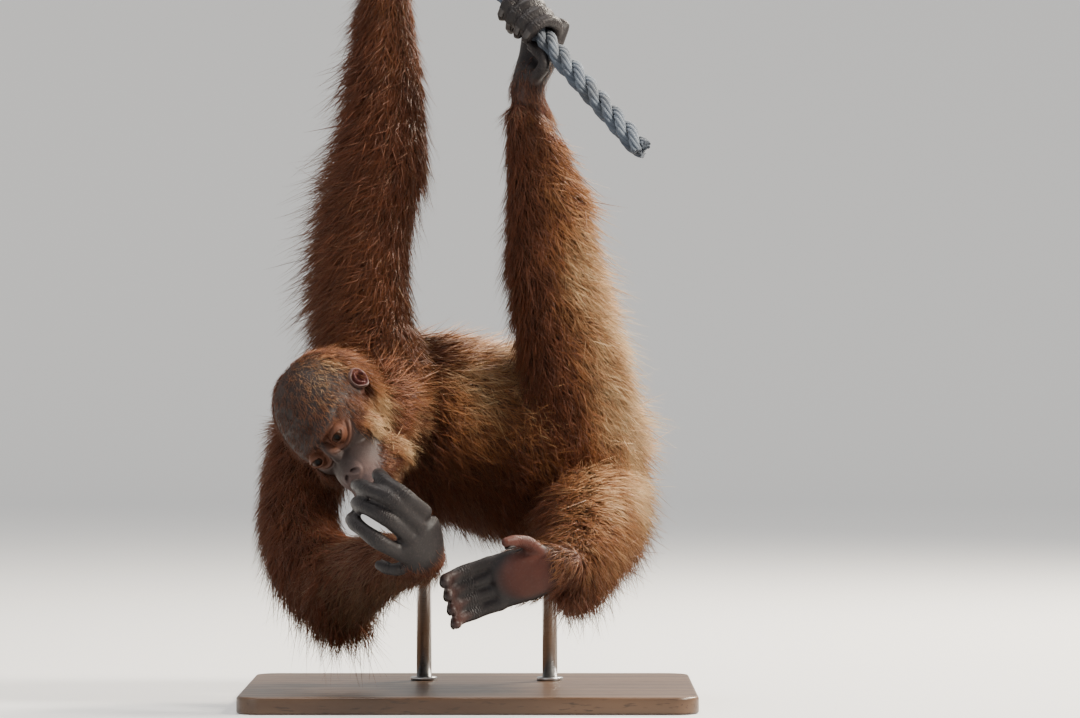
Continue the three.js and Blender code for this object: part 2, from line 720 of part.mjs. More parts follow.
// Rope: three strands laid round each other, cut square at both ends
function perchRope(extra = 0) {
  const start = rope.handGrip.clone().addScaledVector(rope.along, -rope.upperEnd);
  const length = rope.handGrip.distanceTo(rope.footGrip) + rope.upperEnd + rope.lowerEnd;
  const steps = 36;
  const geometry = new THREE.CylinderGeometry(1, 1, 1, 9, steps);
  const position = geometry.attributes.position;
  const vertex = at(0, 0, 0);
  for (let i = 0; i < position.count; i += 1) {
    vertex.fromBufferAttribute(position, i);
    const spot = (0.5 - vertex.y) * length;
    const angle = Math.atan2(vertex.z, vertex.x);
    const strand = extra > 0 ? 0 : 0.16 * (1 - Math.abs(Math.sin(angle * 1.5)));
    const radius = Math.hypot(vertex.x, vertex.z) * (ropeRadius * (1 - strand) + extra);
    const turn = angle + spot / ropeLay * Math.PI * 2;
    const place = start.clone().addScaledVector(rope.along, spot)
      .addScaledVector(ropeSide, Math.cos(turn) * radius).addScaledVector(ropeOver, -Math.sin(turn) * radius);
    position.setXYZ(i, place.x, place.y, place.z);
  }
  return toSolid(geometry);
}

// Display stand
function standBase() {
  const outline = new THREE.Shape();
  const x = base.length / 2 - base.bevel;
  const y = base.width / 2 - base.bevel;
  const r = base.corner;
  outline.moveTo(-x + r, -y);
  outline.absarc(x - r, -y + r, r, -Math.PI / 2, 0);
  outline.absarc(x - r, y - r, r, 0, Math.PI / 2);
  outline.absarc(-x + r, y - r, r, Math.PI / 2, Math.PI);
  outline.absarc(-x + r, -y + r, r, Math.PI, Math.PI * 1.5);
  const geometry = new THREE.ExtrudeGeometry(outline, {
    depth: base.thick - 2 * base.bevel,
    bevelThickness: base.bevel,
    bevelSize: base.bevel,
    bevelSegments: 1,
    curveSegments: 3,
  });
  geometry.translate(0, 0, base.bevel);
  return toSolid(geometry);
}

function rod({ x, y, top }, extra = 0) {
  const bottom = base.thick + (extra > 0 ? -extra : gap);
  const geometry = new THREE.CylinderGeometry(rodRadius + extra, rodRadius + extra, top + extra - bottom, 12);
  geometry.rotateX(Math.PI / 2).translate(x, y, (top + extra + bottom) / 2);
  return toSolid(geometry);
}

const rods = {
  stand_rod_chest: { x: -50, y: 72, top: 222 },
  stand_rod_hips: { x: 84, y: 66, top: 196 },
};

// Materials
const look = (color, roughness, metalness = 0) => (
  () => new THREE.MeshStandardMaterial({ color, roughness, metalness })
);
const looks = {
  coat: look(0x8a4a24, 0.85),
  skin: look(0x3b3a40, 0.6),
  ear: look(0x6b3a35, 0.6),
  eye: look(0x1c0f08, 0.15),
  rope: look(0x6d7a85, 0.9),
  stand: look(0x3a3a3c, 0.5),
  rod: look(0x9a9da0, 0.3, 1),
};

// How the locks are set on each coated part: rows between two places along it, the way they run
// along it, and the way they hang
const coats = {
  neck: {
    from: 0.5, to: 0.9, rows: 1, around: 8,
    length: 70, width: 20, along: 1, hang: at(0, 0, -0.2), seed: 11,
  },
  chest: {
    from: 0, to: 0.95, rows: 3, around: 9,
    length: 100, width: 33, along: 1, hang: at(0, 0, -0.3), seed: 12,
  },
  belly: {
    from: 0.05, to: 1, rows: 3, around: 8,
    length: 100, width: 33, along: 1, hang: at(0, 0, -0.35), seed: 13,
  },
  upper_arm_left: {
    from: 0.12, to: 1, rows: 4, around: 5,
    length: 86, width: 22, along: 0, hang: at(-0.6, 0, -0.8), seed: 14,
  },
  upper_arm_right: {
    from: 0.1, to: 1, rows: 3, around: 4,
    length: 84, width: 25, along: 0.9, hang: at(-0.1, 0.2, -0.8), seed: 15,
  },
  thigh_left: {
    from: 0.1, to: 1, rows: 3, around: 5,
    length: 92, width: 25, along: -0.5, hang: at(0.7, 0, -0.5), seed: 16,
  },
  thigh_right: {
    from: 0.05, to: 1, rows: 2, around: 7,
    length: 72, width: 25, along: 0.6, hang: at(0.4, 0, -0.7), seed: 17,
  },
  forearm_left: {
    from: 0.05, to: 0.9, rows: 4, around: 4,
    length: 84, width: 21, along: -0.8, hang: at(-0.5, 0, -0.5), seed: 18,
  },
  forearm_right: {
    from: 0.05, to: 0.85, rows: 3, around: 3,
    length: 62, width: 22, along: -0.7, hang: at(0, 0, -0.8), seed: 19,
  },
  shank_left: {
    from: 0.1, to: 0.9, rows: 3, around: 4,
    length: 74, width: 22, along: -0.7, hang: at(0.6, 0, -0.3), seed: 20,
  },
  shank_right: {
    from: 0.15, to: 0.95, rows: 2, around: 5,
    length: 62, width: 22, along: 0.4, hang: at(0.1, 0, -0.9), seed: 21,
  },
};
const headCoat = {
  whorl: [0, 0.86, -0.5],
  rings: [
    { polar: 0.15, count: 4 }, { polar: 0.6, count: 7 }, { polar: 1.05, count: 9 },
    { polar: 1.5, count: 11 },
  ],
  lengthAngle: 0.56,
  width: 13,
  bareFrom: 0.8, // no locks on the face
  earClear: { side: 0.75, high: 0.42, wide: 0.4 },
  seed: 22,
};

// Every part in the order of its rank: a later part gives way to the earlier ones it would cross,
// and locks give way to every other part
const plain = (name, paint, exact, grown) => ({ name, look: paint, exact, grown, locks: [] });
const parts = [
  plain('stand_base', looks.stand, standBase, standBase),
  ...Object.entries(rods).map(([name, spec]) => plain(name, looks.rod, () => rod(spec), () => rod(spec, gap))),
  plain('perch_rope', looks.rope, perchRope, () => perchRope(gap)),
  ...[['eye_left', 1], ['eye_right', -1]].map(([name, side]) => (
    plain(name, looks.eye, () => eyeball(side), () => eyeball(side, gap)))),
  {
    name: 'head',
    look: looks.coat,
    exact: headSolid,
    grown: () => blendedHead(headCore, gap * 1.5),
    locks: headLocks(headCoat),
  },
  ...[['ear_left', 1], ['ear_right', -1]].map(([name, side]) => (
    { ...plain(name, looks.ear, () => earOnHead(side), () => earCup(side, gap)), rooted: true })),
  ...Object.entries(coats).map(([name, coat]) => ({
    name,
    look: looks.coat,
    exact: () => limbSolid(limbs[name], coreShare),
    grown: () => limbSolid(limbs[name], coreShare, gap),
    locks: coatLocks(name, coat),
  })),
  ...[['hand_left', handLeft], ['hand_right', handRight], ['foot_left', footLeft],
    ['foot_right', footRight]].map(([name, bodies]) => plain(
    name,
    looks.skin,
    () => unite(bodies.map((body) => limbSolid(body, 0))),
    () => unite(bodies.map((body) => limbSolid(body, 0, gap))),
  )),
];

function boxesMeet(a, b) {
  return [0, 1, 2].every((k) => a.min[k] < b.max[k] && b.min[k] < a.max[k]);
}

function cutClear(solid, others) {
  return others.filter((other) => boxesMeet(solid.boundingBox(), other.boundingBox()))
    .reduce((rest, other) => rest.subtract(other), solid);
}

const grown = parts.map((part) => part.grown());
const grownLocks = parts.map(({ locks }) => locks.map((lock) => lockSolid(lock, gap)));
const orangutan = new THREE.Group();
parts.forEach((part, rank) => {
  const core = part.rooted ? part.exact() : cutClear(part.exact(), grown.slice(0, rank));
  const others = [...grown.filter((unused, k) => k !== rank), ...grownLocks.slice(0, rank).flat()];
  const solids = part.locks.map((lock) => cutClear(lockSolid(lock), others));
  orangutan.add(toMesh(part.name, largestPiece(unite([core, ...solids])), part.look()));
});

export default orangutan;
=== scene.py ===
import math

import bmesh
import bpy
import numpy as np
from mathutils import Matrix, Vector
from mathutils.bvhtree import BVHTree
from mathutils.kdtree import KDTree


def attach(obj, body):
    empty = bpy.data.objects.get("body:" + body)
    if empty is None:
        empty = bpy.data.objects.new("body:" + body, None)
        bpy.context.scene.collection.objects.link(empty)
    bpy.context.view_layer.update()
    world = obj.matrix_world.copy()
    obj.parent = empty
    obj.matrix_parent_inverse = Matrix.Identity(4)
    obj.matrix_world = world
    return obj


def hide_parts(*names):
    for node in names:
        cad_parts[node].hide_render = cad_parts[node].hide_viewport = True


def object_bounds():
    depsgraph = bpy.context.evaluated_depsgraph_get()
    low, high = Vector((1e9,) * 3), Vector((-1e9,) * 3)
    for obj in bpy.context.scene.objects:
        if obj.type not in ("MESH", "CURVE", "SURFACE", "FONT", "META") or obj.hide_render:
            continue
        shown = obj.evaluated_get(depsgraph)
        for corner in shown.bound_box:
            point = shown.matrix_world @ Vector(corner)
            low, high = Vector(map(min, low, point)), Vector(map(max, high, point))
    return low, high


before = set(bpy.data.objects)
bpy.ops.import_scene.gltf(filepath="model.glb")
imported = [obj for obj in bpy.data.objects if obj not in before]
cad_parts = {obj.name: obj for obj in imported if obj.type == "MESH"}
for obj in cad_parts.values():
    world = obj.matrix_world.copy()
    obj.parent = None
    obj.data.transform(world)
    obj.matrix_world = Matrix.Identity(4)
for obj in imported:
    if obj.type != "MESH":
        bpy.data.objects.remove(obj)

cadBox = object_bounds()
mm = 0.001  # the tables below are in millimetres, the finished pieces in metres
up = np.array([0.0, 0.0, 1.0])

# Small helpers for points held as rows of an array


def unit(v):
    return v / np.maximum(np.linalg.norm(v, axis=-1, keepdims=True), 1e-9)


def dot(a, b):
    return (a * b).sum(-1, keepdims=True)


def smoothStep(low, high, v):
    s = np.clip((v - low) / (high - low), 0, 1)
    return s * s * (3 - 2 * s)


def between(values, t):
    values = np.asarray(values, float)
    place = np.clip(t, 0, 1) * (len(values) - 1)
    low = np.minimum(place.astype(int), len(values) - 2)
    ease = smoothStep(0, 1, place - low)
    if values.ndim > 1:
        ease = ease[:, None]
    return values[low] * (1 - ease) + values[low + 1] * ease


def curveAt(path, t):  # a rounded line through the points of a path
    path = np.asarray(path, float)
    points = np.vstack([2 * path[0] - path[1], path, 2 * path[-1] - path[-2]])
    place = np.clip(t, 0, 1) * (len(path) - 1)
    low = np.minimum(place.astype(int), len(path) - 2)
    s = (place - low)[:, None]
    p = [points[low + k] for k in range(4)]
    d = [np.sqrt(np.linalg.norm(p[k + 1] - p[k], axis=1))[:, None] for k in range(3)]
    a = ((p[1] - p[0]) / d[0] - (p[2] - p[0]) / (d[0] + d[1]) + (p[2] - p[1]) / d[1]) * d[1]
    b = ((p[2] - p[1]) / d[1] - (p[3] - p[1]) / (d[1] + d[2]) + (p[3] - p[2]) / d[2]) * d[1]
    square = -3 * p[1] + 3 * p[2] - 2 * a - b
    return p[1] + a * s + square * s**2 + (2 * p[1] - 2 * p[2] + a + b) * s**3


def sections(body, t):
    t = np.clip(np.atleast_1d(t).astype(float), 0, 1)
    step = 2e-3
    ahead = curveAt(body["path"], np.minimum(t + step, 1))
    along = unit(ahead - curveAt(body["path"], np.maximum(t - step, 0)))
    side = between(body["sideways"], t)
    side = unit(side - along * dot(side, along))
    return {
        "centre": curveAt(body["path"], t), "along": along, "side": side, "front": np.cross(along, side),
        "wide": between(body["wide"], t)[:, None], "deep": between(body["deep"], t)[:, None],
    }


def linked(name, data):
    obj = bpy.data.objects.new(name, data)
    bpy.context.scene.collection.objects.link(obj)
    return obj


def unitBall(bm, around, tall):  # a sphere's vertices, and where they are as rows
    verts = bmesh.ops.create_uvsphere(bm, u_segments=around, v_segments=tall, radius=1)["verts"]
    return verts, np.array([v.co for v in verts])


def moveTo(verts, points):
    for v, spot in zip(verts, points * mm):
        v.co = spot


def faceOut(bm):
    bm.normal_update()
    bmesh.ops.recalc_face_normals(bm, faces=bm.faces)
    bm.verts.index_update()  # the operators leave the faces in an order of their own each run
    bm.faces.sort(key=lambda face: face.verts[0].index * 1e6 + face.verts[1].index)


def meshOf(name, bm):
    mesh = bpy.data.meshes.new(name)
    bm.to_mesh(mesh)
    bm.free()
    return mesh


def rowsOf(items, key, kind=float):
    rows = np.zeros(len(items) * 3, kind)
    items.foreach_get(key, rows)
    return rows.reshape(-1, 3)


# Camera, studio and light

camera = {
    "target": Vector((0.0735, 0.0, 0.360)),
    "distance": 5.0,
    "frameWidth": 1.134,  # what the frame spans at the animal
    "sensor": 36.0,
    "sight": 60,
}


def placeCamera():
    data = bpy.data.cameras.new("viewer")
    data.sensor_width = camera["sensor"]
    data.lens = camera["sensor"] * camera["distance"] / camera["frameWidth"]
    data.clip_end = camera["sight"]
    viewer = linked("viewer", data)
    viewer.location = camera["target"] + Vector((0, -camera["distance"], 0))
    viewer.rotation_euler = (math.pi / 2, 0, 0)
    bpy.context.scene.camera = viewer


studio = {
    "reach": 8.5,  # the floor's radius, further than any camera stands
    "wallHeight": 6.0,
    "sweep": 1.5,  # radius of the bend between floor and wall
    "tone": (0.80, 0.79, 0.77),
    "glow": 0.42,  # keeps the far wall pale
    "bendSteps": 14,
    "turnSteps": 96,
    "rings": (0.0, 0.6, 2.0, 4.0),
}


def makeStudio():  # a round floor that bends up into a wall on every side
    sweep, reach = studio["sweep"], studio["reach"]
    route = [(k, 0.0) for k in (*studio["rings"], reach - sweep)]
    for k in range(1, studio["bendSteps"] + 1):
        angle = math.pi / 2 * k / studio["bendSteps"]
        route.append((reach - sweep * (1 - math.sin(angle)), sweep * (1 - math.cos(angle))))
    route.append((reach, studio["wallHeight"]))
    bm = bmesh.new()
    line = [bm.verts.new((radius, 0, z)) for radius, z in route]
    edges = [bm.edges.new(pair) for pair in zip(line, line[1:])]
    bmesh.ops.spin(bm, geom=line + edges, cent=(0, 0, 0), axis=(0, 0, 1), angle=math.tau,
                   steps=studio["turnSteps"], use_merge=True)
    bmesh.ops.remove_doubles(bm, verts=bm.verts, dist=1e-5)
    faceOut(bm)
    bmesh.ops.reverse_faces(bm, faces=bm.faces)
    mesh = meshOf("studioSweep", bm)
    mesh.shade_smooth()
    paper = linked("studioSweep", mesh)
    paper.visible_shadow = False  # the room's light comes through the wall
    paper.visible_diffuse = False
    material = bpy.data.materials.new("palePaper")
    material.use_nodes = True
    shader = material.node_tree.nodes["Principled BSDF"]
    shader.inputs["Base Color"].default_value = (*studio["tone"], 1)
    shader.inputs["Roughness"].default_value = 0.9
    shader.inputs["Emission Color"].default_value = (*studio["tone"], 1)
    shader.inputs["Emission Strength"].default_value = studio["glow"]
    paper.data.materials.append(material)


lamps = [  # name, place, size, watts, colour
    ("keyLamp", (2.7, -1.1, 2.6), 0.9, 270, (1.0, 0.93, 0.82)),
    ("fillLamp", (-2.6, -2.8, 1.4), 2.2, 30, (0.95, 0.97, 1.0)),
    ("rimLamp", (1.7, 1.9, 2.3), 0.8, 220, (1.0, 0.9, 0.76)),
    ("topLamp", (-0.5, 0.3, 3.2), 1.4, 50, (1.0, 0.97, 0.93)),
]
roomTone = {"colour": (0.88, 0.90, 0.94), "strength": 0.34, "aim": (0.0, 0.0, 0.42)}


def makeLights():
    for name, place, size, watts, colour in lamps:
        data = bpy.data.lights.new(name, "AREA")
        data.size = size
        data.energy = watts
        data.color = colour
        lamp = linked(name, data)
        lamp.location = place
        lamp.rotation_euler = (Vector(roomTone["aim"]) - Vector(place)).to_track_quat("-Z", "Y").to_euler()
    world = bpy.data.worlds.new("room")
    world.use_nodes = True
    background = world.node_tree.nodes["Background"]
    background.inputs["Color"].default_value = (*roomTone["colour"], 1)
    background.inputs["Strength"].default_value = roomTone["strength"]
    bpy.context.scene.world = world


placeCamera()
makeStudio()
makeLights()
print("stage: camera, studio and lights")

# The animal's frame: joints, rope and head axes, in millimetres

elbowLeft, wristLeft = (-84, 75, 585), (-93, 150, 795)
shoulderRight, elbowRight, wristRight = (-166, 98, 272), (-131, -30, 134), (-38, -198, 156)
kneeLeft, ankleLeft = (76, -10, 475), (58, 0, 622)
hipRight, kneeRight, ankleRight = (122, 66, 226), (116, -90, 176), (100, -172, 146)

rope = {
    "radius": 12.0, "along": unit(np.array([0.528, -0.556, -0.64])), "lay": 78.0,
    "footGrip": np.array([63.0, 10, 714]), "handGrip": np.array([-89.0, 170, 898]),
    "upperEnd": 70.5, "lowerEnd": 218.0, "yarns": 6, "twist": 34.0, "steps": 168, "sides": 8,
}
ropeSide = unit(np.cross(rope["along"], up))
ropeOver = unit(np.cross(ropeSide, rope["along"]))

headCrown = unit(np.array([-0.831, -0.258, 0.486]))
headFace = np.array([-0.05, -0.844, -0.53])
headFace = unit(headFace - headCrown * (headFace @ headCrown))
headAxes = np.array([np.cross(headCrown, headFace), headCrown, headFace])  # left, crown, face
headCentre = np.array([-141.5, -62.0, 301.5])


def inHead(left, crown, face):
    return headCentre + np.array([left, crown, face]) @ headAxes


# Trunk and limbs: the flesh as ellipses along a path, and the coat that grows on it.
# coat is how far the tips stand off the skin, fringe how much further on one side; hair is its length,
# along and hang say how it lies, gold how much painted light its colour takes: high on sides in sunlight, low
# on limbs in shade


def limb(path, sideways, wide, deep, coat, ends, fringe=None, **lie):
    sideways = sideways if isinstance(sideways[0], tuple) else (sideways, sideways)
    fringe = fringe or {"towards": (0, 0, 1), "extra": (0, 0)}
    return {"path": path, "sideways": sideways, "wide": wide, "deep": deep, "coat": coat, "ends": ends,
            "fringe": fringe, **lie}


flesh = {
    "neck": limb(
        [(-112, -28, 306), (-100, 6, 306), (-86, 34, 304)], (0.5, -0.5, 0.7),
        (46, 52, 58), (42, 46, 50), (14, 18, 20), (20, 20),
        hair=(30, 34), along=1, hang=(0, 0, -0.2), gold=(0.25, 0.4), thick=1.0),
    "chest": limb(
        [(-122, 46, 316), (-92, 58, 310), (-50, 72, 297), (-14, 82, 285)],
        ((0.5, -0.6, 0.62), (0.3, -0.6, 0.74)),
        (66, 76, 82, 86), (56, 64, 70, 74), (22, 22, 22, 20), (30, 30),
        hair=(38, 40), along=1, hang=(0, 0, -0.3), gold=(0.4, 0.7), thick=1.0),
    "belly": limb(
        [(-10, 84, 285), (34, 86, 275), (78, 70, 266), (118, 48, 258)],
        ((0.3, -0.6, 0.74), (-0.19, -0.56, 0.81)),
        (86, 90, 84, 68), (74, 78, 74, 60), (20, 20, 24, 28), (30, 30),
        hair=(40, 44), along=1, hang=(0, 0, -0.35), gold=(0.8, 0.95), thick=1.0),
    "upperArmLeft": limb(
        [(-96, 12, 350), (-106, 28, 420), (-102, 50, 495), elbowLeft], (1, 0, 0),
        (42, 34, 31, 29), (42, 36, 32, 30), (18, 10, 9, 9), (26, 18),
        {"towards": (-0.95, 0, -0.3), "extra": (6, 18, 28, 34)},
        hair=(36, 48), along=0.1, hang=(-0.6, 0, -0.8), gold=(0.2, 0.12), thick=1.0),
    "forearmLeft": limb(
        [elbowLeft, (-86, 108, 660), (-90, 132, 730), wristLeft], (1, 0, 0),
        (28, 27, 22, 18), (29, 27, 21, 16), (10, 8, 7, 5), (16, 12),
        {"towards": (-0.95, 0, -0.3), "extra": (32, 24, 14, 4)},
        hair=(48, 26), along=-0.8, hang=(-0.5, 0, -0.5), gold=(0.12, 0.25), thick=1.0),
    "upperArmRight": limb(
        [shoulderRight, (-182, 72, 214), (-172, 26, 162), elbowRight], (1, 0.3, 0),
        (38, 32, 30, 28), (40, 34, 31, 29), (14, 12, 12, 14), (26, 18),
        {"towards": (-0.3, 0.2, -0.9), "extra": (0, 6, 12, 34)},
        hair=(34, 44), along=0.9, hang=(-0.1, 0.2, -0.8), gold=(0.1, 0.1), thick=1.0),
    "forearmRight": limb(
        [elbowRight, (-98, -86, 150), (-64, -146, 158), wristRight], (0.2, 0, 1),
        (26, 25, 20, 16), (27, 25, 20, 15), (10, 8, 6, 4), (14, 10),
        {"towards": (0, 0, -1), "extra": (26, 8, 4, 2)},
        hair=(40, 20), along=-0.7, hang=(0, 0, -0.8), gold=(0.1, 0.1), thick=1.0),
    "thighLeft": limb(
        [(110, 28, 290), (102, 14, 350), (88, 2, 415), kneeLeft], (1, 0, 0),
        (44, 40, 35, 30), (50, 46, 38, 32), (16, 13, 13, 13), (26, 18),
        {"towards": (1, 0, -0.2), "extra": (2, 12, 17, 17)},
        hair=(38, 34), along=-0.5, hang=(0.7, 0, -0.5), gold=(0.85, 0.75), thick=1.0),
    "shankLeft": limb(
        [kneeLeft, (73, -8, 530), (65, -4, 580), ankleLeft], (1, 0, 0),
        (29, 27, 23, 18), (31, 29, 23, 19), (13, 12, 8, 4), (16, 10),
        {"towards": (1, 0, 0.2), "extra": (17, 18, 9, 1)},
        hair=(40, 26), along=-0.7, hang=(0.6, 0, -0.3), gold=(0.65, 0.4), thick=1.0),
    "thighRight": limb(
        [hipRight, (124, 14, 206), (120, -44, 190), kneeRight], (1, 0, 0.1),
        (44, 42, 36, 31), (46, 44, 38, 32), (18, 17, 16, 16), (24, 18),
        {"towards": (0.7, 0, -0.7), "extra": (4, 4, 2, 2)},
        hair=(38, 34), along=0.6, hang=(0.4, 0, -0.7), gold=(0.85, 0.6), thick=1.0),
    "shankRight": limb(
        [kneeRight, (112, -118, 166), (107, -146, 156), ankleRight], (1, 0, 0.1),
        (30, 28, 24, 19), (31, 28, 24, 19), (14, 12, 10, 6), (16, 8),
        {"towards": (0.2, 0, -1), "extra": (6, 22, 26, 14)},
        hair=(34, 26), along=0.4, hang=(0.1, 0, -0.9), gold=(0.55, 0.45), thick=1.0),
}

# Hands and feet: a palm or sole and its digits

digitRadius = 7.2


def digit(points, sideways, radius=digitRadius):
    r = radius
    return {"path": points, "sideways": (sideways, sideways), "ends": (r * 0.7, r * 0.85),
            "wide": (r * 1.0, r * 0.92, r * 1.0, r * 0.86, r * 0.96, r * 0.78),
            "deep": (r * 0.98, r * 0.88, r * 0.95, r * 0.8, r * 0.9, r * 0.72)}


def palm(path, sideways, wide, deep, ends, **lie):
    return limb(path, sideways, wide, deep, (3, 3), ends, **lie)


def towards(a, b, share):
    return np.array(a, float) + (np.array(b, float) - np.array(a, float)) * share


def gripDigits(grip, count, pitch, radius):  # hooked over the rope, side by side along it
    hold = rope["radius"] + radius * 1.08
    turn = 1.28 * math.pi
    made = []
    for k in range(count):
        shift = (k - (count - 1) / 2) * pitch
        last = turn * (1 - 0.08 * abs(k - 1))
        points = []
        for s in (0, 0.25, 0.5, 0.75, 1):
            angle = 0.1 + (last - 0.1) * s
            points.append(grip + rope["along"] * shift - ropeSide * math.cos(angle) * hold
                          + ropeOver * math.sin(angle) * hold)
        made.append(digit(points, rope["along"], radius))
    return made


def handLeft():
    knuckles = rope["handGrip"] - ropeSide * (rope["radius"] + 11.5)
    body = palm([np.array(wristLeft), towards(wristLeft, knuckles, 0.5), knuckles], tuple(rope["along"]),
                (18, 25, 30), (15, 13, 11), (8, 8),
                hair=(14, 8), along=-1, hang=(0, 0, -0.3), gold=(0.2, 0.2), thick=0.6)
    thumb = digit([towards(wristLeft, knuckles, share) + rope["along"] * out
                   for share, out in ((0.3, 14), (0.5, 32), (0.75, 42))], up, digitRadius * 0.9)
    return [body, *gripDigits(rope["handGrip"], 4, 15.8, digitRadius), thumb]


def footLeft():
    ball = rope["footGrip"] - ropeSide * (rope["radius"] + 12.5)
    ankle = np.array(ankleLeft, float)
    body = palm([ankle + (14, 8, -12), ankle + (2, 0, 16), towards(ankle, ball, 0.6), ball],
                ((0.3, -0.9, 0), tuple(rope["along"])), (15, 20, 25, 28), (15, 17, 14, 12), (8, 8),
                hair=(16, 8), along=-1, hang=(0.3, 0, -0.3), gold=(0.5, 0.4), thick=0.6)
    greatToe = digit([ankle + (4, -8, 26), ankle + (20, -24, 46),
                      rope["footGrip"] + rope["along"] * 14 - ropeOver * 24 + (4, -10, 6)], up)
    return [body, *gripDigits(rope["footGrip"], 4, 15.6, digitRadius), greatToe]


def handRight():
    across = tuple(unit(np.array([-0.42, 0, -0.9])))
    body = palm([wristRight, (-42, -214, 166), (-50, -230, 184)], across,
                (18, 25, 29), (16, 15, 12), (8, 8),
                hair=(12, 7), along=-1, hang=(0, 0, -0.3), gold=(0.1, 0.1), thick=0.5)
    fingers = [  # knuckle, bend and tip, the little finger first
        ((-42, -230, 206), (-60, -245, 222), (-90, -198, 244)),
        ((-48, -233, 192), (-72, -248, 218), (-112, -196, 233)),
        ((-54, -232, 177), (-78, -248, 200), (-112, -196, 215)),
        ((-59, -228, 162), (-86, -248, 177), (-117, -196, 199)),
    ]
    digits = [digit([np.array(knuckle), np.array(bend), towards(bend, tip, 0.5) + (-6, -12, 4), np.array(tip)],
                    across, digitRadius * 1.2) for knuckle, bend, tip in fingers]
    thumb = digit([(-52, -208, 156), (-72, -208, 148), (-88, -198, 152)], up)
    return [body, *digits, thumb]


def footRight():
    across = unit(np.array([-0.25, 0, 0.97]))
    body = palm([(106, -180, 150), (84, -190, 148), (58, -194, 143), (32, -190, 135)], tuple(across),
                (18, 24, 28, 28), (18, 17, 13, 10), (10, 8),
                hair=(18, 10), along=0.8, hang=(0, 0, -0.5), gold=(0.5, 0.4), thick=0.7)
    toes = []
    for k in range(4):
        root = np.array([30.0, -190, 134]) + across * (k - 1.5) * 14.4
        toes.append(digit([root, root + (-24, -1, -8), root + (-44, -12, -16), root + (-46, -34, -19)],
                          tuple(across)))
    greatToe = digit([(76, -196, 164), (58, -208, 176), (40, -220, 176)], up)
    return [body, *toes, greatToe]


extremities = {
    "handLeft": handLeft(), "footLeft": footLeft(), "handRight": handRight(), "footRight": footRight(),
}
for name, bodies in extremities.items():
    flesh[name] = bodies[0]
bodyNames = list(flesh)
isExtremity = np.array([name in extremities for name in bodyNames])


def addShell(bm, body, segments, rings):  # a sphere drawn out along a body's path
    verts, co = unitBall(bm, segments, rings)
    latitude = np.arccos(np.clip(co[:, 2], -1, 1)) / math.pi
    angle = np.arctan2(co[:, 1], co[:, 0])[:, None]
    dome = 0.14
    t = (latitude - dome) / (1 - 2 * dome)
    beyond = np.where(t < 0, 1 - latitude / dome, np.where(t > 1, (latitude - 1) / dome + 1, 0))[:, None]
    cut = sections(body, t)
    edge = cut["side"] * np.cos(angle) * cut["wide"] + cut["front"] * np.sin(angle) * cut["deep"]
    end = np.where(t < 0, -body["ends"][0], np.where(t > 1, body["ends"][1], 0))[:, None]
    turn = beyond * math.pi / 2
    moveTo(verts, cut["centre"] + edge * np.cos(turn) + cut["along"] * end * np.sin(turn))


def remeshed(name, bm, voxel, smoothing):  # the shells become one skin
    bmesh.ops.recalc_face_normals(bm, faces=bm.faces)
    obj = linked(name, meshOf(name, bm))
    fuse = obj.modifiers.new("fuse", "REMESH")
    fuse.mode = "VOXEL"
    fuse.voxel_size = voxel * mm
    relax = obj.modifiers.new("relax", "SMOOTH")
    relax.factor = 0.5
    relax.iterations = smoothing
    made = bpy.data.meshes.new_from_object(obj.evaluated_get(bpy.context.evaluated_depsgraph_get()))
    bpy.data.objects.remove(obj)
    return made


# Head: masses blended into one surface round its centre, each [left, crown, face] and half sizes

masses = [
    ((0, 13, -8), (50, 51, 62)),  # skull
    ((0, 4, 26), (43, 38, 34)),  # temples
    ((0, 15, 46), (31, 10, 21)),  # brow
    ((0, -16, 36), (40, 24, 29)),  # cheekbones
    ((0, -12, 58), (7, 22, 14)),  # bridge of the nose
    ((0, -40, 52), (30, 27, 36)),  # muzzle
    ((0, -53, 60), (27, 17, 36)),  # lips
    ((0, -60, 34), (29, 22, 42)),  # jaw
]
headBlend = 16  # higher keeps the masses more apart
headRings = {"around": 204, "tall": 172}
eye = {"left": 19.0, "face": 58.0, "radius": 9.0, "lid": 10.4, "wide": 8.4, "high": 4.3, "tilt": 0.14}
nose = {"left": 6.4, "crown": -31.0, "wide": 3.5, "high": 2.3, "deep": 5.0}
mouth = {"crown": -53.0, "wide": 27.0, "deep": 2.8, "line": 1.2, "bow": 2.0}
ear = {"left": 52.5, "crown": 2.0, "face": -2.0, "high": 13.0, "wide": 10.2, "thick": 5.5, "turn": 0.55}
eyeFolds = [  # height, distance from the eye's middle, width, and from where to where it grows, up or down
    (-0.9, 9.2, 1.0, 0, 3), (-0.8, 10.5, 0.9, 1, -3), (-0.9, 15.0, 1.2, -1, -6), (0.8, 12.8, 1.6, -1, -6),
]
foreheadLines = (30.0, 35.5, 41.0)


def headReach(rays):
    total = 0
    for centre, radii in masses:
        d = rays / radii
        c = np.array(centre, float) / radii
        dd, dc = (d * d).sum(1), d @ c
        root = dc**2 - dd * (c @ c - 1)
        reach = np.where(root > 0, (dc + np.sqrt(np.maximum(root, 0))) / dd, 0)
        total = total + np.maximum(reach, 0) ** headBlend
    return total ** (1 / headBlend)


def ballReach(rays, centre, radius):  # how far a ray from the head's centre runs to a ball's far side
    middle = rays @ centre
    inside = middle**2 - centre @ centre + radius**2
    return np.where(inside > 0, middle + np.sqrt(np.maximum(inside, 0)), 0)


def softMax(a, b, soft):
    return np.maximum(a, b) + soft * np.log1p(np.exp(-np.abs(a - b) / soft)) * (b > 0)


def bell(v, width):
    return np.exp(-((v / width) ** 2))


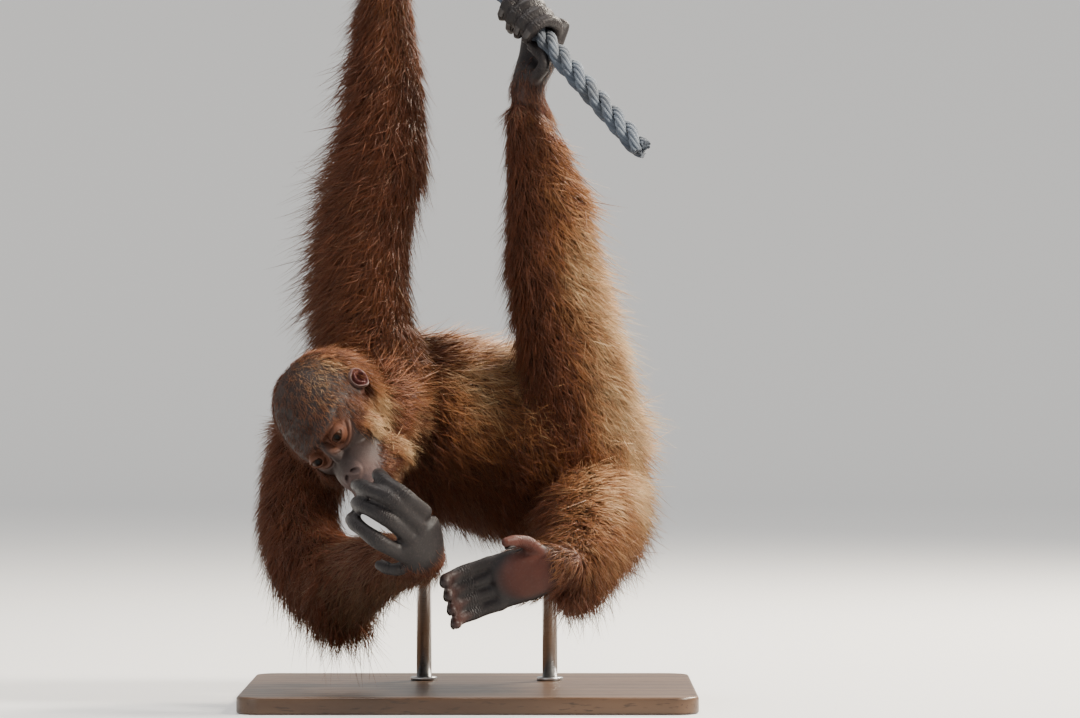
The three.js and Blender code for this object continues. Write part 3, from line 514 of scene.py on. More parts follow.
def faceReach(rays):  # the head's surface with its lids, folds, nose and mouth
    reach = headReach(rays)
    for side in (1, -1):
        centre = np.array([eye["left"] * side, 0, eye["face"]])
        reach = softMax(reach, ballReach(rays, centre, eye["lid"] - 0.6), 1.6)
        spot = rays * reach[:, None] - centre
        x, y = spot[:, 0] * side, spot[:, 1]
        y = y - eye["tilt"] * x
        near = (spot[:, 2] > -12) & (np.abs(x) < 26) & (np.abs(y) < 26)
        opening = (np.abs(x) / eye["wide"]) ** 1.7 + (np.abs(y) / eye["high"]) ** 1.35
        reach = reach + near * 0.7 * bell(opening - 1.35, 0.35)  # rims of the lids
        ring = np.hypot(x / 1.15, y)
        for height, far, width, low, high in eyeFolds:  # creases of the lids, bags under the eye
            reach = reach + near * height * bell(ring - far, width) * smoothStep(low, high, y)
        hollow = ballReach(rays, centre, eye["radius"] - 1.6)
        reach = np.where(near, reach + (hollow - reach) * smoothStep(1.12, 0.8, opening) * (hollow > 0), reach)
        spot = rays * reach[:, None]
        x, y = spot[:, 0] * side - nose["left"], spot[:, 1] - nose["crown"]
        front = spot[:, 2] > 55
        tilted = y + 0.5 * x
        nostril = np.hypot(x / nose["wide"], tilted / nose["high"])
        reach = reach + front * (0.9 * bell(nostril - 1.7, 0.5) - nose["deep"] * smoothStep(1.3, 0.55, nostril))
        reach = reach - front * 0.8 * bell(np.hypot(x - 1, y + 0.5) - 8.0, 1.2) * smoothStep(-3, 2, x)
    spot = rays * reach[:, None]
    x, y = spot[:, 0], spot[:, 1] - mouth["crown"] - mouth["bow"] * (spot[:, 0] / mouth["wide"]) ** 2
    front = (spot[:, 2] > 42) * smoothStep(mouth["wide"] + 4, mouth["wide"] - 4, np.abs(x))
    reach = reach - front * mouth["deep"] * bell(y, mouth["line"])
    reach = reach + front * (1.3 * bell(y - 3.6, 2.6) + 1.1 * bell(y + 3.8, 2.6))
    reach = reach - (spot[:, 2] > 50) * 0.6 * bell(x, 1.6) * bell(y - 12, 7)  # groove under the nose
    for k, height in enumerate(foreheadLines):
        wave = spot[:, 1] - height - 2.5 * np.cos(spot[:, 0] / 13) - 0.4 * np.sin(spot[:, 0] * 0.5 + k)
        reach = reach - (spot[:, 2] > 12) * 0.45 * bell(wave, 1.0) * smoothStep(34, 20, np.abs(spot[:, 0]))
    return reach


def headMesh():
    bm = bmesh.new()
    verts, co = unitBall(bm, headRings["around"], headRings["tall"])
    latitude = np.arccos(np.clip(co[:, 2], -1, 1)) / math.pi
    polar = math.pi * (0.35 * latitude + 0.65 * latitude**2)  # finest at the face
    angle = np.arctan2(co[:, 1], co[:, 0])
    rays = np.stack([np.sin(polar) * np.cos(angle), np.sin(polar) * np.sin(angle), np.cos(polar)], 1)
    moveTo(verts, headCentre + (rays * faceReach(rays)[:, None]) @ headAxes)
    faceOut(bm)
    return meshOf("head", bm)


def earMesh(side):  # a shallow cup with a rolled rim and an inner fold
    outwards = headAxes[0] * side * math.cos(ear["turn"]) + headAxes[2] * math.sin(ear["turn"])
    backwards = np.cross(outwards, headCrown) * side
    bm = bmesh.new()
    verts, co = unitBall(bm, 48, 36)
    across, tall, off = co[:, 0], co[:, 1], co[:, 2]  # across grows backwards
    ring = np.hypot(across, tall)
    angle = np.arctan2(tall, across)
    lobe = 1 + 0.06 * np.cos(angle * 2 - 0.5) - 0.10 * bell(angle + 2.2, 0.5) + 0.05 * np.sin(angle * 3 + 0.4)
    behind = smoothStep(-0.75, 0.25, across + 0.35 * tall)
    helix = 0.55 * bell(ring - 0.88, 0.10) * (0.25 + 0.75 * behind)
    bowl = 1.5 * bell(np.hypot(across + 0.18, (tall + 0.12) * 0.85), 0.42)
    groove = 0.5 * bell(ring - 0.68, 0.08) * behind
    fold = 0.5 * bell(np.hypot(across + 0.1, tall * 0.9) - 0.5, 0.09) * smoothStep(-0.5, 0.2, across)
    tragus = 0.6 * bell(np.hypot((across + 0.66) * 1.3, tall + 0.1), 0.17)
    outer = np.where(off > 0, smoothStep(0, 0.5, off), 0)
    lift = off * 0.75 + outer * (helix + fold + tragus - bowl - groove)
    centre = inHead(side * ear["left"], ear["crown"], ear["face"])
    moveTo(verts, centre + np.outer(across * lobe * ear["wide"], backwards)
           + np.outer(tall * lobe * ear["high"], headCrown) + np.outer(lift * ear["thick"], outwards))
    faceOut(bm)
    return meshOf("ear", bm)


skinFinish = {"bodyVoxel": 4.8, "bodySmoothing": 8, "handVoxel": 2.2, "handSmoothing": 3}


def makeSkin():
    trunk = bmesh.new()
    for name in bodyNames:
        if name not in extremities:
            addShell(trunk, flesh[name], 28, 26)
    parts = [remeshed("trunk", trunk, skinFinish["bodyVoxel"], skinFinish["bodySmoothing"])]
    for name, bodies in extremities.items():
        hand = bmesh.new()
        for body in bodies:
            addShell(hand, body, 22, 24)
        parts.append(remeshed(name, hand, skinFinish["handVoxel"], skinFinish["handSmoothing"]))
    parts += [headMesh(), earMesh(1), earMesh(-1)]
    whole = bmesh.new()
    for part in parts:
        whole.from_mesh(part)
    mesh = meshOf("skin", whole)
    mesh.shade_smooth()
    skin = linked("skin", mesh)
    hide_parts("head", "ear_left", "ear_right", "neck", "chest", "belly", "upper_arm_left",
                "upper_arm_right", "forearm_left", "forearm_right", "thigh_left", "thigh_right", "shank_left",
                "shank_right", "hand_left", "hand_right", "foot_left", "foot_right")
    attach(skin, "root")
    print("stage: skin,", len(mesh.polygons), "faces")
    return skin, [len(part.vertices) for part in parts]


skin, skinParts = makeSkin()
zones = {"trunk": 0, "footRight": 4, "head": 5}  # the skin's parts: then the ears


def zoneOf(vertices):
    return np.searchsorted(np.cumsum([0] + skinParts), vertices, side="right") - 1


# Where a point lies on the bodies, and the coat that they give it


def placeOn(body, points):  # t, angle and level of each point: level 1 is on the flesh
    t = np.linspace(0, 1, 41)
    line = curveAt(body["path"], t)
    nearest = np.zeros(len(points), int)
    batch = 20000
    for low in range(0, len(points), batch):
        part = points[low:low + batch]
        nearest[low:low + batch] = ((part[:, None] - line[None]) ** 2).sum(2).argmin(1)
    cut = sections(body, t)
    away = points - line[nearest]
    x = (away * cut["side"][nearest]).sum(1) / cut["wide"][nearest, 0]
    y = (away * cut["front"][nearest]).sum(1) / cut["deep"][nearest, 0]
    z = (away * cut["along"][nearest]).sum(1)
    end = np.where(nearest == 0, body["ends"][0], np.where(nearest == 40, body["ends"][1], 1e4))
    return t[nearest], np.arctan2(y, x), np.sqrt(x**2 + y**2 + (z / end) ** 2)


def headPlace(points):  # unit ray and level on the head
    local = (points - headCentre) @ headAxes.T
    size = np.linalg.norm(local, axis=1)
    rays = local / np.maximum(size, 1e-6)[:, None]
    return rays, local, size / headReach(rays)


def coatFields(points):
    fields = {key: 0 for key in ("lie", "depth", "hair", "gold", "thick")}
    places = {name: placeOn(flesh[name], points) for name in bodyNames}
    levels = np.stack([places[name][2] for name in bodyNames], 1)
    least = levels.min(1, keepdims=True)
    weights = np.exp(-14 * (levels - least))
    weights = weights / weights.sum(1, keepdims=True)
    for k, name in enumerate(bodyNames):
        body = flesh[name]
        t, angle, level = places[name]
        cut = sections(body, t)
        out = unit(cut["side"] * np.cos(angle)[:, None] + cut["front"] * np.sin(angle)[:, None])
        proud = np.maximum(0, out @ unit(np.array(body["fringe"]["towards"], float))) ** 1.5
        depth = between(body["coat"], t) + between(body["fringe"]["extra"], t) * proud * 1.4
        share = weights[:, k]
        fields["lie"] = fields["lie"] + (cut["along"] * body["along"] + np.array(body["hang"])) * share[:, None]
        fields["depth"] = fields["depth"] + depth * share
        fields["hair"] = fields["hair"] + between(body["hair"], t) * (1 + 0.45 * proud) * share
        fields["gold"] = fields["gold"] + between(body["gold"], t) * share
        fields["thick"] = fields["thick"] + body["thick"] * share
    fields["nearest"] = levels.argmin(1)
    fields["level"] = least[:, 0]
    for k, key in enumerate(("t", "angle")):
        values = np.stack([places[name][k] for name in bodyNames], 1)
        fields[key] = values[np.arange(len(points)), fields["nearest"]]
    return fields


whorl = unit(np.array([0.0, 0.86, -0.5]))


def headFields(points):
    rays, local, level = headPlace(points)
    left, crown, face = np.abs(local[:, 0]), local[:, 1], local[:, 2]
    away = rays - whorl
    lie = away - rays * dot(away, rays)
    back = smoothStep(12, -36, face) * smoothStep(62, 14, crown)
    cheek = smoothStep(6, -18, crown) * smoothStep(60, 34, face) * smoothStep(14, 30, left)
    bare = smoothStep(1.25, 0.8, (left / 35) ** 2 + ((crown + 22) / 36) ** 2) * smoothStep(14, 34, face)
    orbit = smoothStep(21, 14, np.hypot(left - eye["left"], crown)) * (face > 20)
    bare = np.maximum(bare, orbit)
    bald = smoothStep(-2, 16, crown) * smoothStep(-30, 0, face)
    fields = {
        "lie": unit(lie) @ headAxes + np.array([0, 0, -0.12]),
        "hair": 12.5 + 15 * back + 10 * cheek - 2.5 * bald,
        "depth": 3.2 + 8 * back + 6 * cheek - 0.4 * bald,
        # the cheek band and the crown are golder: paler hair there, with painted sunlight on top
        "gold": 0.26 + 0.58 * cheek + 0.85 * bald * smoothStep(0, 50, crown),
        "thick": (1 - bare) * (0.7 + 0.5 * back + 0.7 * cheek - 0.36 * bald),
        "pull": 0.42 - 0.3 * bald,
    }
    fields["t"] = np.arccos(np.clip(rays[:, 2], -1, 1)) / math.pi
    fields["angle"] = np.arctan2(rays[:, 1], rays[:, 0])
    fields["level"] = level
    return fields


def earDistance(points):
    near = np.full(len(points), 1e3)
    for side in (1, -1):
        centre = inHead(side * ear["left"], ear["crown"], ear["face"])
        near = np.minimum(near, np.linalg.norm(points - centre, axis=1))
    return near


coat = {
    "seed": 11,
    "lock": 22,  # hairs in a lock
    "width": 0.0185,  # half a hair's width to its length
    "finest": 0.2,
    "coarsest": 0.9,
    "wisps": 0.16,  # the share that strays
    "wispLength": 1.35,
    "scatter": 0.2,
    "sway": 0.22,
    "droop": 0.1,
    "bend": 0.45,  # how far along a hair bends
    "gather": 14,  # the furthest that a lock draws a hair
    "clear": (1.4, 1.8),  # of bend and tip from the skin
    "inset": 1.6,  # of the tips from the solids' box
    "rootDepth": 0.8,
    "counts": {"Head": 19600, "Chest": 19800, "Belly": 19900, "ArmLeft": 19900, "ArmRight": 19000,
               "LegLeft": 19900, "LegRight": 19600},
    "members": {
        "Chest": ("neck", "chest"), "Belly": ("belly",), "ArmLeft": ("upperArmLeft", "forearmLeft", "handLeft"),
        "ArmRight": ("upperArmRight", "forearmRight", "handRight"),
        "LegLeft": ("thighLeft", "shankLeft", "footLeft"),
        "LegRight": ("thighRight", "shankRight", "footRight"),
    },
}


def growCoat():
    rng = np.random.default_rng(coat["seed"])
    mesh = skin.data
    mesh.calc_loop_triangles()
    corners = rowsOf(mesh.loop_triangles, "vertices", int)
    verts = rowsOf(mesh.vertices, "co") / mm
    a, b, c = (verts[corners[:, k]] for k in range(3))
    cross = np.cross(b - a, c - a)
    area = np.linalg.norm(cross, axis=1) / 2
    normals = unit(cross)
    middle = (a + b + c) / 3
    zone = zoneOf(corners[:, 0])
    isHead, isEar = zone == zones["head"], zone > zones["head"]
    body = coatFields(middle)
    head = headFields(middle)
    distal = isExtremity[body["nearest"]]
    palmShare = smoothStep(0.75, 0.15, body["t"])
    furry = np.maximum(smoothStep(0.25, -0.15, -normals[:, 1]), smoothStep(86, 100, middle[:, 0]))
    palmShare = np.where(zone == zones["footRight"], furry * smoothStep(0.98, 0.7, body["t"]), palmShare)
    density = area * body["thick"] * np.where(distal, palmShare, 1)
    density = density * np.where(isHead, 0, 1) * (head["level"] > 0.97) * ~isEar
    own = np.array([bodyNames.index(name) for name in extremities])[np.clip(zone - 1, 0, 3)]
    inHand = (zone > zones["trunk"]) & (zone < zones["head"])
    density = density * np.where(inHand, (body["nearest"] == own) & (body["level"] < 1.12), ~distal)
    headDensity = area * head["thick"] * isHead * (body["level"] > 0.95) * (earDistance(middle) > 14)
    tree = BVHTree.FromPolygons([tuple(v) for v in verts], [tuple(f) for f in corners])
    for piece, wanted in coat["counts"].items():
        if piece == "Head":
            share = headDensity
        else:
            members = [bodyNames.index(name) for name in coat["members"][piece]]
            share = density * np.isin(body["nearest"], members)
        picked = rng.choice(len(corners), wanted, p=share / share.sum())
        u, v = rng.random(wanted), rng.random(wanted)
        flip = u + v > 1
        u, v = np.where(flip, 1 - u, u), np.where(flip, 1 - v, v)
        roots = a[picked] + (b - a)[picked] * u[:, None] + (c - a)[picked] * v[:, None]
        fields = headFields(roots) if piece == "Head" else coatFields(roots)
        makeTufts("coat" + piece, roots, normals[picked], fields, tree, rng)


def makeTufts(name, roots, normals, fields, tree, rng):
    count = len(roots)
    wisp = rng.random(count) < coat["wisps"]
    scale = fields["hair"] * (0.7 + 0.5 * rng.random(count)) * np.where(wisp, coat["wispLength"], 1)
    lie = unit(fields["lie"])
    lie = lie - normals * dot(lie, normals) + coat["scatter"] * rng.normal(size=(count, 3))
    lie = unit(lie - normals * dot(lie, normals))
    rise = np.clip(fields["depth"] * (0.65 + 0.6 * rng.random(count)) / scale, 0.05, 0.85)
    rise = np.where(wisp, np.minimum(rise * 1.35 + 0.1, 0.92), rise)
    run = np.sqrt(1 - rise**2)
    sway = np.cross(normals, lie) * (rng.normal(size=count) * coat["sway"])[:, None]
    shares = (coat["bend"], 1.0)
    tips = []
    for s in shares:
        lift = rise * (0.75 * s**1.25 + 0.25 * s)
        tips.append(roots + lie * (scale * run * s)[:, None] + normals * (scale * lift)[:, None]
                    + sway * (scale * (s**2 - 0.55 * (s < 1)))[:, None]
                    - up * (scale * coat["droop"] * s**2)[:, None])
    locks = KDTree(count)  # hairs of a lock lean towards its middle
    for k in rng.permutation(count)[: max(8, count // coat["lock"])]:
        locks.insert(tuple(roots[k]), int(k))
    locks.balance()
    leader = np.array([locks.find(tuple(root))[1] for root in roots])
    pull = np.where(wisp, 0.1, fields.get("pull", 0.42))
    for k, s in enumerate(shares):
        gather = tips[k][leader] - tips[k]
        far = np.maximum(np.linalg.norm(gather, axis=1), 1e-3)
        gather = gather * (np.minimum(1, coat["gather"] / far))[:, None]
        tips[k] = tips[k] + gather * (pull * s**1.5)[:, None]
    for k, clear in enumerate(coat["clear"]):  # none dips under the skin
        for i in range(count):
            spot, normal, face, distance = tree.find_nearest(tuple(tips[k][i]))
            side = (Vector(tips[k][i]) - spot).dot(normal)
            if side < clear:
                tips[k][i] = tips[k][i] + np.array(normal) * (clear - side)
    low, high = (np.array(corner) / mm for corner in cadBox)
    tips = [np.clip(tip, low + coat["inset"], high - coat["inset"]) for tip in tips]
    along = unit(tips[0] - roots)
    width = np.clip(scale * coat["width"], coat["finest"], coat["coarsest"])
    width = width * (0.75 + 0.5 * rng.random(count)) * np.where(wisp, 0.6, 1)
    across = unit(np.cross(along, normals) + 0.35 * rng.normal(size=(count, 3)))
    upper = unit(np.cross(across, along))
    rings = []
    for spine, size in ((roots - normals * coat["rootDepth"], 0.8), (tips[0], 1.0)):
        half = (width * size)[:, None]
        rings += [spine + across * half, spine - across * half, spine + upper * half * 0.7]
    points = np.stack(rings + [tips[1]], 1).reshape(-1, 3)
    faces = [(0, 1, 2)]
    for i in range(3):
        j = (i + 1) % 3
        faces += [(i, 3 + i, 3 + j), (i, 3 + j, j), (3 + i, 6, 3 + j)]
    pattern = np.array(faces)[:, ::-1]
    corners = len(rings) + 1  # of one hair
    loops = (pattern[None] + np.arange(count)[:, None, None] * corners).reshape(-1, 3)
    mesh = bpy.data.meshes.new(name)
    mesh.vertices.add(len(points))
    mesh.vertices.foreach_set("co", (points * mm).ravel())
    mesh.loops.add(loops.size)
    mesh.loops.foreach_set("vertex_index", loops.ravel())
    mesh.polygons.add(len(loops))
    mesh.polygons.foreach_set("loop_start", np.arange(len(loops)) * 3)
    mesh.polygons.foreach_set("loop_total", np.full(len(loops), 3))
    mesh.update(calc_edges=True)
    mesh.shade_smooth()
    addValues(mesh, "along", np.tile([0] * 3 + [coat["bend"]] * 3 + [1.0], count))
    own = rng.random(count)
    lock = rng.random(count)[leader]
    addValues(mesh, "shade", np.repeat(0.5 * own + 0.5 * lock, corners))
    # the gold value carries painted sunlight, lighter on the sides that face the sun
    addValues(mesh, "gold", np.repeat(fields["gold"] * paintedSunlight(normals), corners))
    cell = fields.get("nearest", np.full(count, len(bodyNames)))
    u = (cell % 4 + 0.04 + 0.92 * (fields["angle"] / math.tau + 0.5)) / 4
    v = (cell // 4 + 0.04 + 0.92 * fields["t"]) / 4
    patch = np.array([(-1, -1), (1, -1), (0, -0.6), (-0.8, 0.2), (0.8, 0.2), (0, 0.5), (0, 1)]) * 0.0015
    corner, owner = loops.ravel() % corners, loops.ravel() // corners
    bake = mesh.uv_layers.new(name="OFBake")
    bake.data.foreach_set("uv", (np.stack([u[owner], v[owner]], 1) + patch[corner]).ravel())
    obj = linked(name, mesh)
    obj.data.materials.append(coatMaterial)
    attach(obj, "root")
    print("stage:", name, len(loops), "triangles")


def paintedSunlight(normals):  # painted sunlight: the coat's colour is lighter where it faces the sun's direction, darker where it turns away
    return 0.08 + 1.15 * smoothStep(-0.2, 0.85, normals @ unit(np.array([0.66, -0.34, 0.68])))


def addValues(mesh, name, values):
    layer = mesh.attributes.new(name, "FLOAT", "POINT")
    layer.data.foreach_set("value", np.asarray(values, np.float32))


# Materials


def newMaterial(name):
    material = bpy.data.materials.new(name)
    material.use_nodes = True
    return material, material.node_tree, material.node_tree.nodes["Principled BSDF"]


def put(tree, kind, **values):
    node = tree.nodes.new(kind)
    for key, value in values.items():
        if key.startswith("in_"):
            node.inputs[key[3:].replace("_", " ")].default_value = value
        else:
            setattr(node, key, value)
    return node


def mathNode(tree, operation, first, second, clamp=False):
    node = put(tree, "ShaderNodeMath", operation=operation, use_clamp=clamp)
    for k, value in enumerate((first, second)):
        if isinstance(value, (int, float)):
            node.inputs[k].default_value = value
        else:
            tree.links.new(value, node.inputs[k])
    return node.outputs[0]


def times(tree, first, second, clamp=False):
    return mathNode(tree, "MULTIPLY", first, second, clamp)


def plus(tree, first, second):
    return mathNode(tree, "ADD", first, second)


def minus(tree, first, second):
    return mathNode(tree, "SUBTRACT", first, second)


def wire(tree, shader, **sockets):  # a plain value is set on the socket, a node's output linked to it
    for key, value in sockets.items():
        socket = shader.inputs[key.replace("_", " ")]
        if isinstance(value, (int, float, tuple)):
            socket.default_value = value
        else:
            tree.links.new(value, socket)


def mixTones(tree, factor, first, second):
    node = put(tree, "ShaderNodeMix", data_type="RGBA")
    sockets = (node.inputs["Factor"], node.inputs[6], node.inputs[7])
    for socket, value in zip(sockets, (factor, first, second)):
        if isinstance(value, tuple):
            socket.default_value = (*value, 1)
        elif isinstance(value, (int, float)):
            socket.default_value = value
        else:
            tree.links.new(value, socket)
    return node.outputs[2]


def valueOf(tree, name):
    return put(tree, "ShaderNodeAttribute", attribute_name=name).outputs["Fac"]


def spotOf(tree, stretch):
    mapping = put(tree, "ShaderNodeMapping", in_Scale=stretch)
    tree.links.new(put(tree, "ShaderNodeTexCoord").outputs["Object"], mapping.inputs["Vector"])
    return mapping.outputs["Vector"]


def noiseOf(tree, scale, detail=4.0, stretch=None):
    where = spotOf(tree, stretch) if stretch else put(tree, "ShaderNodeTexCoord").outputs["Object"]
    return noiseAt(tree, where, scale, detail)


def noiseAt(tree, where, scale, detail):
    noise = put(tree, "ShaderNodeTexNoise", in_Scale=scale, in_Detail=detail)
    tree.links.new(where, noise.inputs["Vector"])
    return noise.outputs["Fac"]


def bumpOf(tree, height, strength, distance, under=None):
    bump = put(tree, "ShaderNodeBump", in_Strength=strength, in_Distance=distance)
    tree.links.new(height, bump.inputs["Height"])
    if under:
        tree.links.new(under, bump.inputs["Normal"])
    return bump.outputs["Normal"]


def makeMarkingsAndPaintedLight():  # the colour that skin and coat share: dark at the root, and a tip whose painted sunlight follows the gold value, lighter in sun, darker in shade
    group = bpy.data.node_groups.new("coatMarkingsAndPaintedLight", "ShaderNodeTree")
    for name in ("Along", "Gold", "Shade"):
        group.interface.new_socket(name, in_out="INPUT", socket_type="NodeSocketFloat")
    group.interface.new_socket("Tone", in_out="OUTPUT", socket_type="NodeSocketColor")
    inside = put(group, "NodeGroupInput")
    outside = put(group, "NodeGroupOutput")
    along, gold, shade = (inside.outputs[k] for k in range(3))
    patches = noiseOf(group, 14.0, 3.0)
    # painted sunlight: the gold value, varied in patches and per lock, takes the tip from dark orange to cream;
    # low values stand for shade
    sun = times(group, gold, plus(group, times(group, patches, 1.0), 0.4))
    sun = times(group, sun, plus(group, times(group, shade, 1.1), 0.5))
    deep = mixTones(group, shade, (0.040, 0.011, 0.006), (0.09, 0.026, 0.011))
    fair = mixTones(group, shade, (0.085, 0.021, 0.008), (0.22, 0.060, 0.020))
    orange = mixTones(group, times(group, sun, 1.9, True), (0.17, 0.045, 0.015), (0.66, 0.28, 0.095))
    pale = times(group, minus(group, sun, 0.52), 1.7, True)
    tip = mixTones(group, pale, orange, (0.95, 0.68, 0.38))
    rise = times(group, along, 2.2, True)
    body = mixTones(group, rise, deep, fair)
    reach = minus(group, along, minus(group, 0.72, times(group, sun, 0.45)))
    tone = mixTones(group, times(group, reach, 1.9, True), body, tip)
    group.links.new(tone, outside.inputs["Tone"])
    return group


markingsAndPaintedLight = makeMarkingsAndPaintedLight()


def markingsAndPaintedLightIn(tree, along, shade):
    node = put(tree, "ShaderNodeGroup", node_tree=markingsAndPaintedLight)
    wire(tree, node, Along=along, Gold=valueOf(tree, "gold"), Shade=shade)
    return node.outputs["Tone"]


def makeCoatMaterial():
    material, tree, shader = newMaterial("longCoat")
    tone = markingsAndPaintedLightIn(tree, valueOf(tree, "along"), valueOf(tree, "shade"))
    wire(tree, shader, Base_Color=tone, Roughness=0.48, Specular_IOR_Level=0.38, Sheen_Weight=0.25,
         Sheen_Roughness=0.4, Sheen_Tint=(1.0, 0.72, 0.42, 1))
    return material


def makeSkinMaterial():
    material, tree, shader = newMaterial("skin")
    fine = noiseOf(tree, 420.0, 5.0)
    broad = noiseOf(tree, 60.0, 4.0)
    # the skin under the coat shares the coat's painted sunlight and shade
    under = markingsAndPaintedLightIn(tree, 0.2, 0.35)
    bare = put(tree, "ShaderNodeAttribute", attribute_name="tone").outputs["Color"]
    mottled = mixTones(tree, times(tree, broad, 0.6), bare, (0.022, 0.016, 0.015))
    spotted = mixTones(tree, times(tree, minus(tree, fine, 0.52), 0.7, True), mottled,
                       (0.15, 0.105, 0.09))
    tone = mixTones(tree, valueOf(tree, "bare"), under, spotted)
    onHand = times(tree, valueOf(tree, "reach"), 0.025, True)
    rough = plus(tree, times(tree, broad, 0.3), 0.42)
    rough = minus(tree, rough, times(tree, onHand, 0.07))
    cells = put(tree, "ShaderNodeTexVoronoi", feature="DISTANCE_TO_EDGE", in_Scale=520.0)
    tree.links.new(put(tree, "ShaderNodeTexCoord").outputs["Object"], cells.inputs["Vector"])
    pores = bumpOf(tree, cells.outputs["Distance"], 0.45, 0.0006)
    wave = plus(tree, times(tree, valueOf(tree, "reach"), 2.3),
                    times(tree, noiseOf(tree, 160.0, 2.0), 9.0))
    creases = times(tree, mathNode(tree, "SINE", wave, 0.0), valueOf(tree, "fold"))
    knuckles = bumpOf(tree, creases, 0.5, 0.0006, pores)
    folds = bumpOf(tree, broad, 0.4, 0.0028, knuckles)
    wire(tree, shader, Base_Color=tone, Roughness=rough, Normal=folds, Specular_IOR_Level=0.3)
    return material


def makeNailMaterial():
    material, tree, shader = newMaterial("nails")
    streak = noiseOf(tree, 300.0, 3.0)
    tone = mixTones(tree, streak, (0.022, 0.017, 0.016), (0.06, 0.048, 0.044))
    wire(tree, shader, Base_Color=tone, Roughness=0.42, Normal=bumpOf(tree, streak, 0.2, 0.0004))
    return material


def makeEyeMaterial():
    material, tree, shader = newMaterial("eye")
    ring = valueOf(tree, "ring")  # millimetres from the middle of the pupil
    streaks = noiseOf(tree, 900.0, 2.0)
    iris = mixTones(tree, streaks, (0.014, 0.005, 0.002), (0.045, 0.016, 0.006))
    white = mixTones(tree, noiseOf(tree, 260.0), (0.10, 0.055, 0.035), (0.20, 0.13, 0.10))
    rim = times(tree, minus(tree, ring, 4.6), 1.6, True)
    pupil = times(tree, minus(tree, 2.7, ring), 3.0, True)
    tone = mixTones(tree, pupil, mixTones(tree, rim, iris, white), (0.003, 0.002, 0.002))
    wire(tree, shader, Base_Color=tone, Roughness=0.4, Specular_IOR_Level=0.06, Coat_Weight=0.07,
         Coat_Roughness=0.03)
    return material


def makeRopeMaterial():
    material, tree, shader = newMaterial("laidRope")
    along, around = valueOf(tree, "along"), valueOf(tree, "around")
    fibre = plus(tree, times(tree, around, 9.0), times(tree, along, 0.9))
    lines = mathNode(tree, "SINE", times(tree, fibre, math.tau), 0.0)
    hairs = plus(tree, times(tree, lines, 0.5), noiseOf(tree, 700.0, 3.0))
    dirt = noiseOf(tree, 34.0, 4.0)
    clean = mixTones(tree, valueOf(tree, "shade"), (0.085, 0.105, 0.14), (0.20, 0.235, 0.28))
    worn = mixTones(tree, times(tree, minus(tree, dirt, 0.46), 3.0, True), clean,
                    (0.06, 0.055, 0.05))
    tone = mixTones(tree, times(tree, hairs, 0.22, True), worn, (0.42, 0.46, 0.50))
    wire(tree, shader, Base_Color=tone, Roughness=0.85, Sheen_Weight=0.2,
         Normal=bumpOf(tree, hairs, 0.6, 0.0006))
    return material


def makeWoodMaterial():
    material, tree, shader = newMaterial("darkHardwood")
    where = spotOf(tree, (1.0, 11.0, 6.0))
    bend = noiseAt(tree, where, 3.2, 3.0)
    rings = put(tree, "ShaderNodeTexWave", wave_type="RINGS", rings_direction="X", in_Scale=0.9,
                in_Distortion=11.0, in_Detail=4.0)
    rings.inputs["Detail Scale"].default_value = 1.4
    tree.links.new(where, rings.inputs["Vector"])
    pores = noiseAt(tree, where, 60.0, 3.0)
    grain = mixTones(tree, rings.outputs["Fac"], (0.075, 0.038, 0.020), (0.20, 0.11, 0.060))
    tone = mixTones(tree, times(tree, bend, 0.6), grain, (0.06, 0.032, 0.018))
    dark = times(tree, minus(tree, pores, 0.58), 6.0, True)
    tone = mixTones(tree, dark, tone, (0.03, 0.016, 0.010))
    rough = plus(tree, times(tree, pores, 0.22), 0.26)
    wire(tree, shader, Base_Color=tone, Roughness=rough, Normal=bumpOf(tree, pores, 0.12, 0.0006))
    return material


def makeSteelMaterial():
    material, tree, shader = newMaterial("brushedSteel")
    lines = noiseOf(tree, 90.0, 4.0, (1.0, 1.0, 22.0))
    tone = mixTones(tree, lines, (0.42, 0.42, 0.43), (0.62, 0.62, 0.62))
    rough = plus(tree, times(tree, lines, 0.22), 0.2)
    wire(tree, shader, Base_Color=tone, Roughness=rough, Metallic=1.0, Normal=bumpOf(tree, lines, 0.15, 0.0003))
    return material


coatMaterial = makeCoatMaterial()

# Colours of the skin, laid on its vertices


tones = {
    "under": (0.055, 0.032, 0.026),
    "slate": (0.013, 0.0105, 0.0110),
    "sole": (0.115, 0.028, 0.015),
    "face": (0.042, 0.025, 0.020),
    "orbit": (0.21, 0.07, 0.030),
    "muzzle": (0.24, 0.155, 0.135),
    "lips": (0.16, 0.11, 0.105),
    "brow": (0.030, 0.018, 0.014),
    "earRim": (0.26, 0.17, 0.15),
    # the middle of the ear: dark red painted glow, as of light shining through the ear
    "earPaintedGlow": (0.10, 0.016, 0.013),
}


def blendTone(base, other, share):
    return base + (np.array(tones[other]) - base) * np.clip(share, 0, 1)[:, None]


def digitFolds(points, zone):  # how far along its digit a point lies, and how close to a knuckle
    reach, fold = np.zeros(len(points)), np.zeros(len(points))
    for k, bodies in enumerate(extremities.values()):
        here = np.flatnonzero(zone == k + 1)
        least = np.full(len(here), 9.0)
        for number, body in enumerate(bodies):
            t, angle, level = placeOn(body, points[here])
            line = curveAt(body["path"], np.linspace(0, 1, 30))
            size = np.linalg.norm(np.diff(line, axis=0), axis=1).sum()
            near = level < least
            least = np.where(near, level, least)
            creases = bell(t - 0.38, 0.08) + bell(t - 0.68, 0.07) if number else np.zeros(len(t))
            reach[here] = np.where(near, t * size, reach[here])
            fold[here] = np.where(near, creases, fold[here])
    return reach, fold


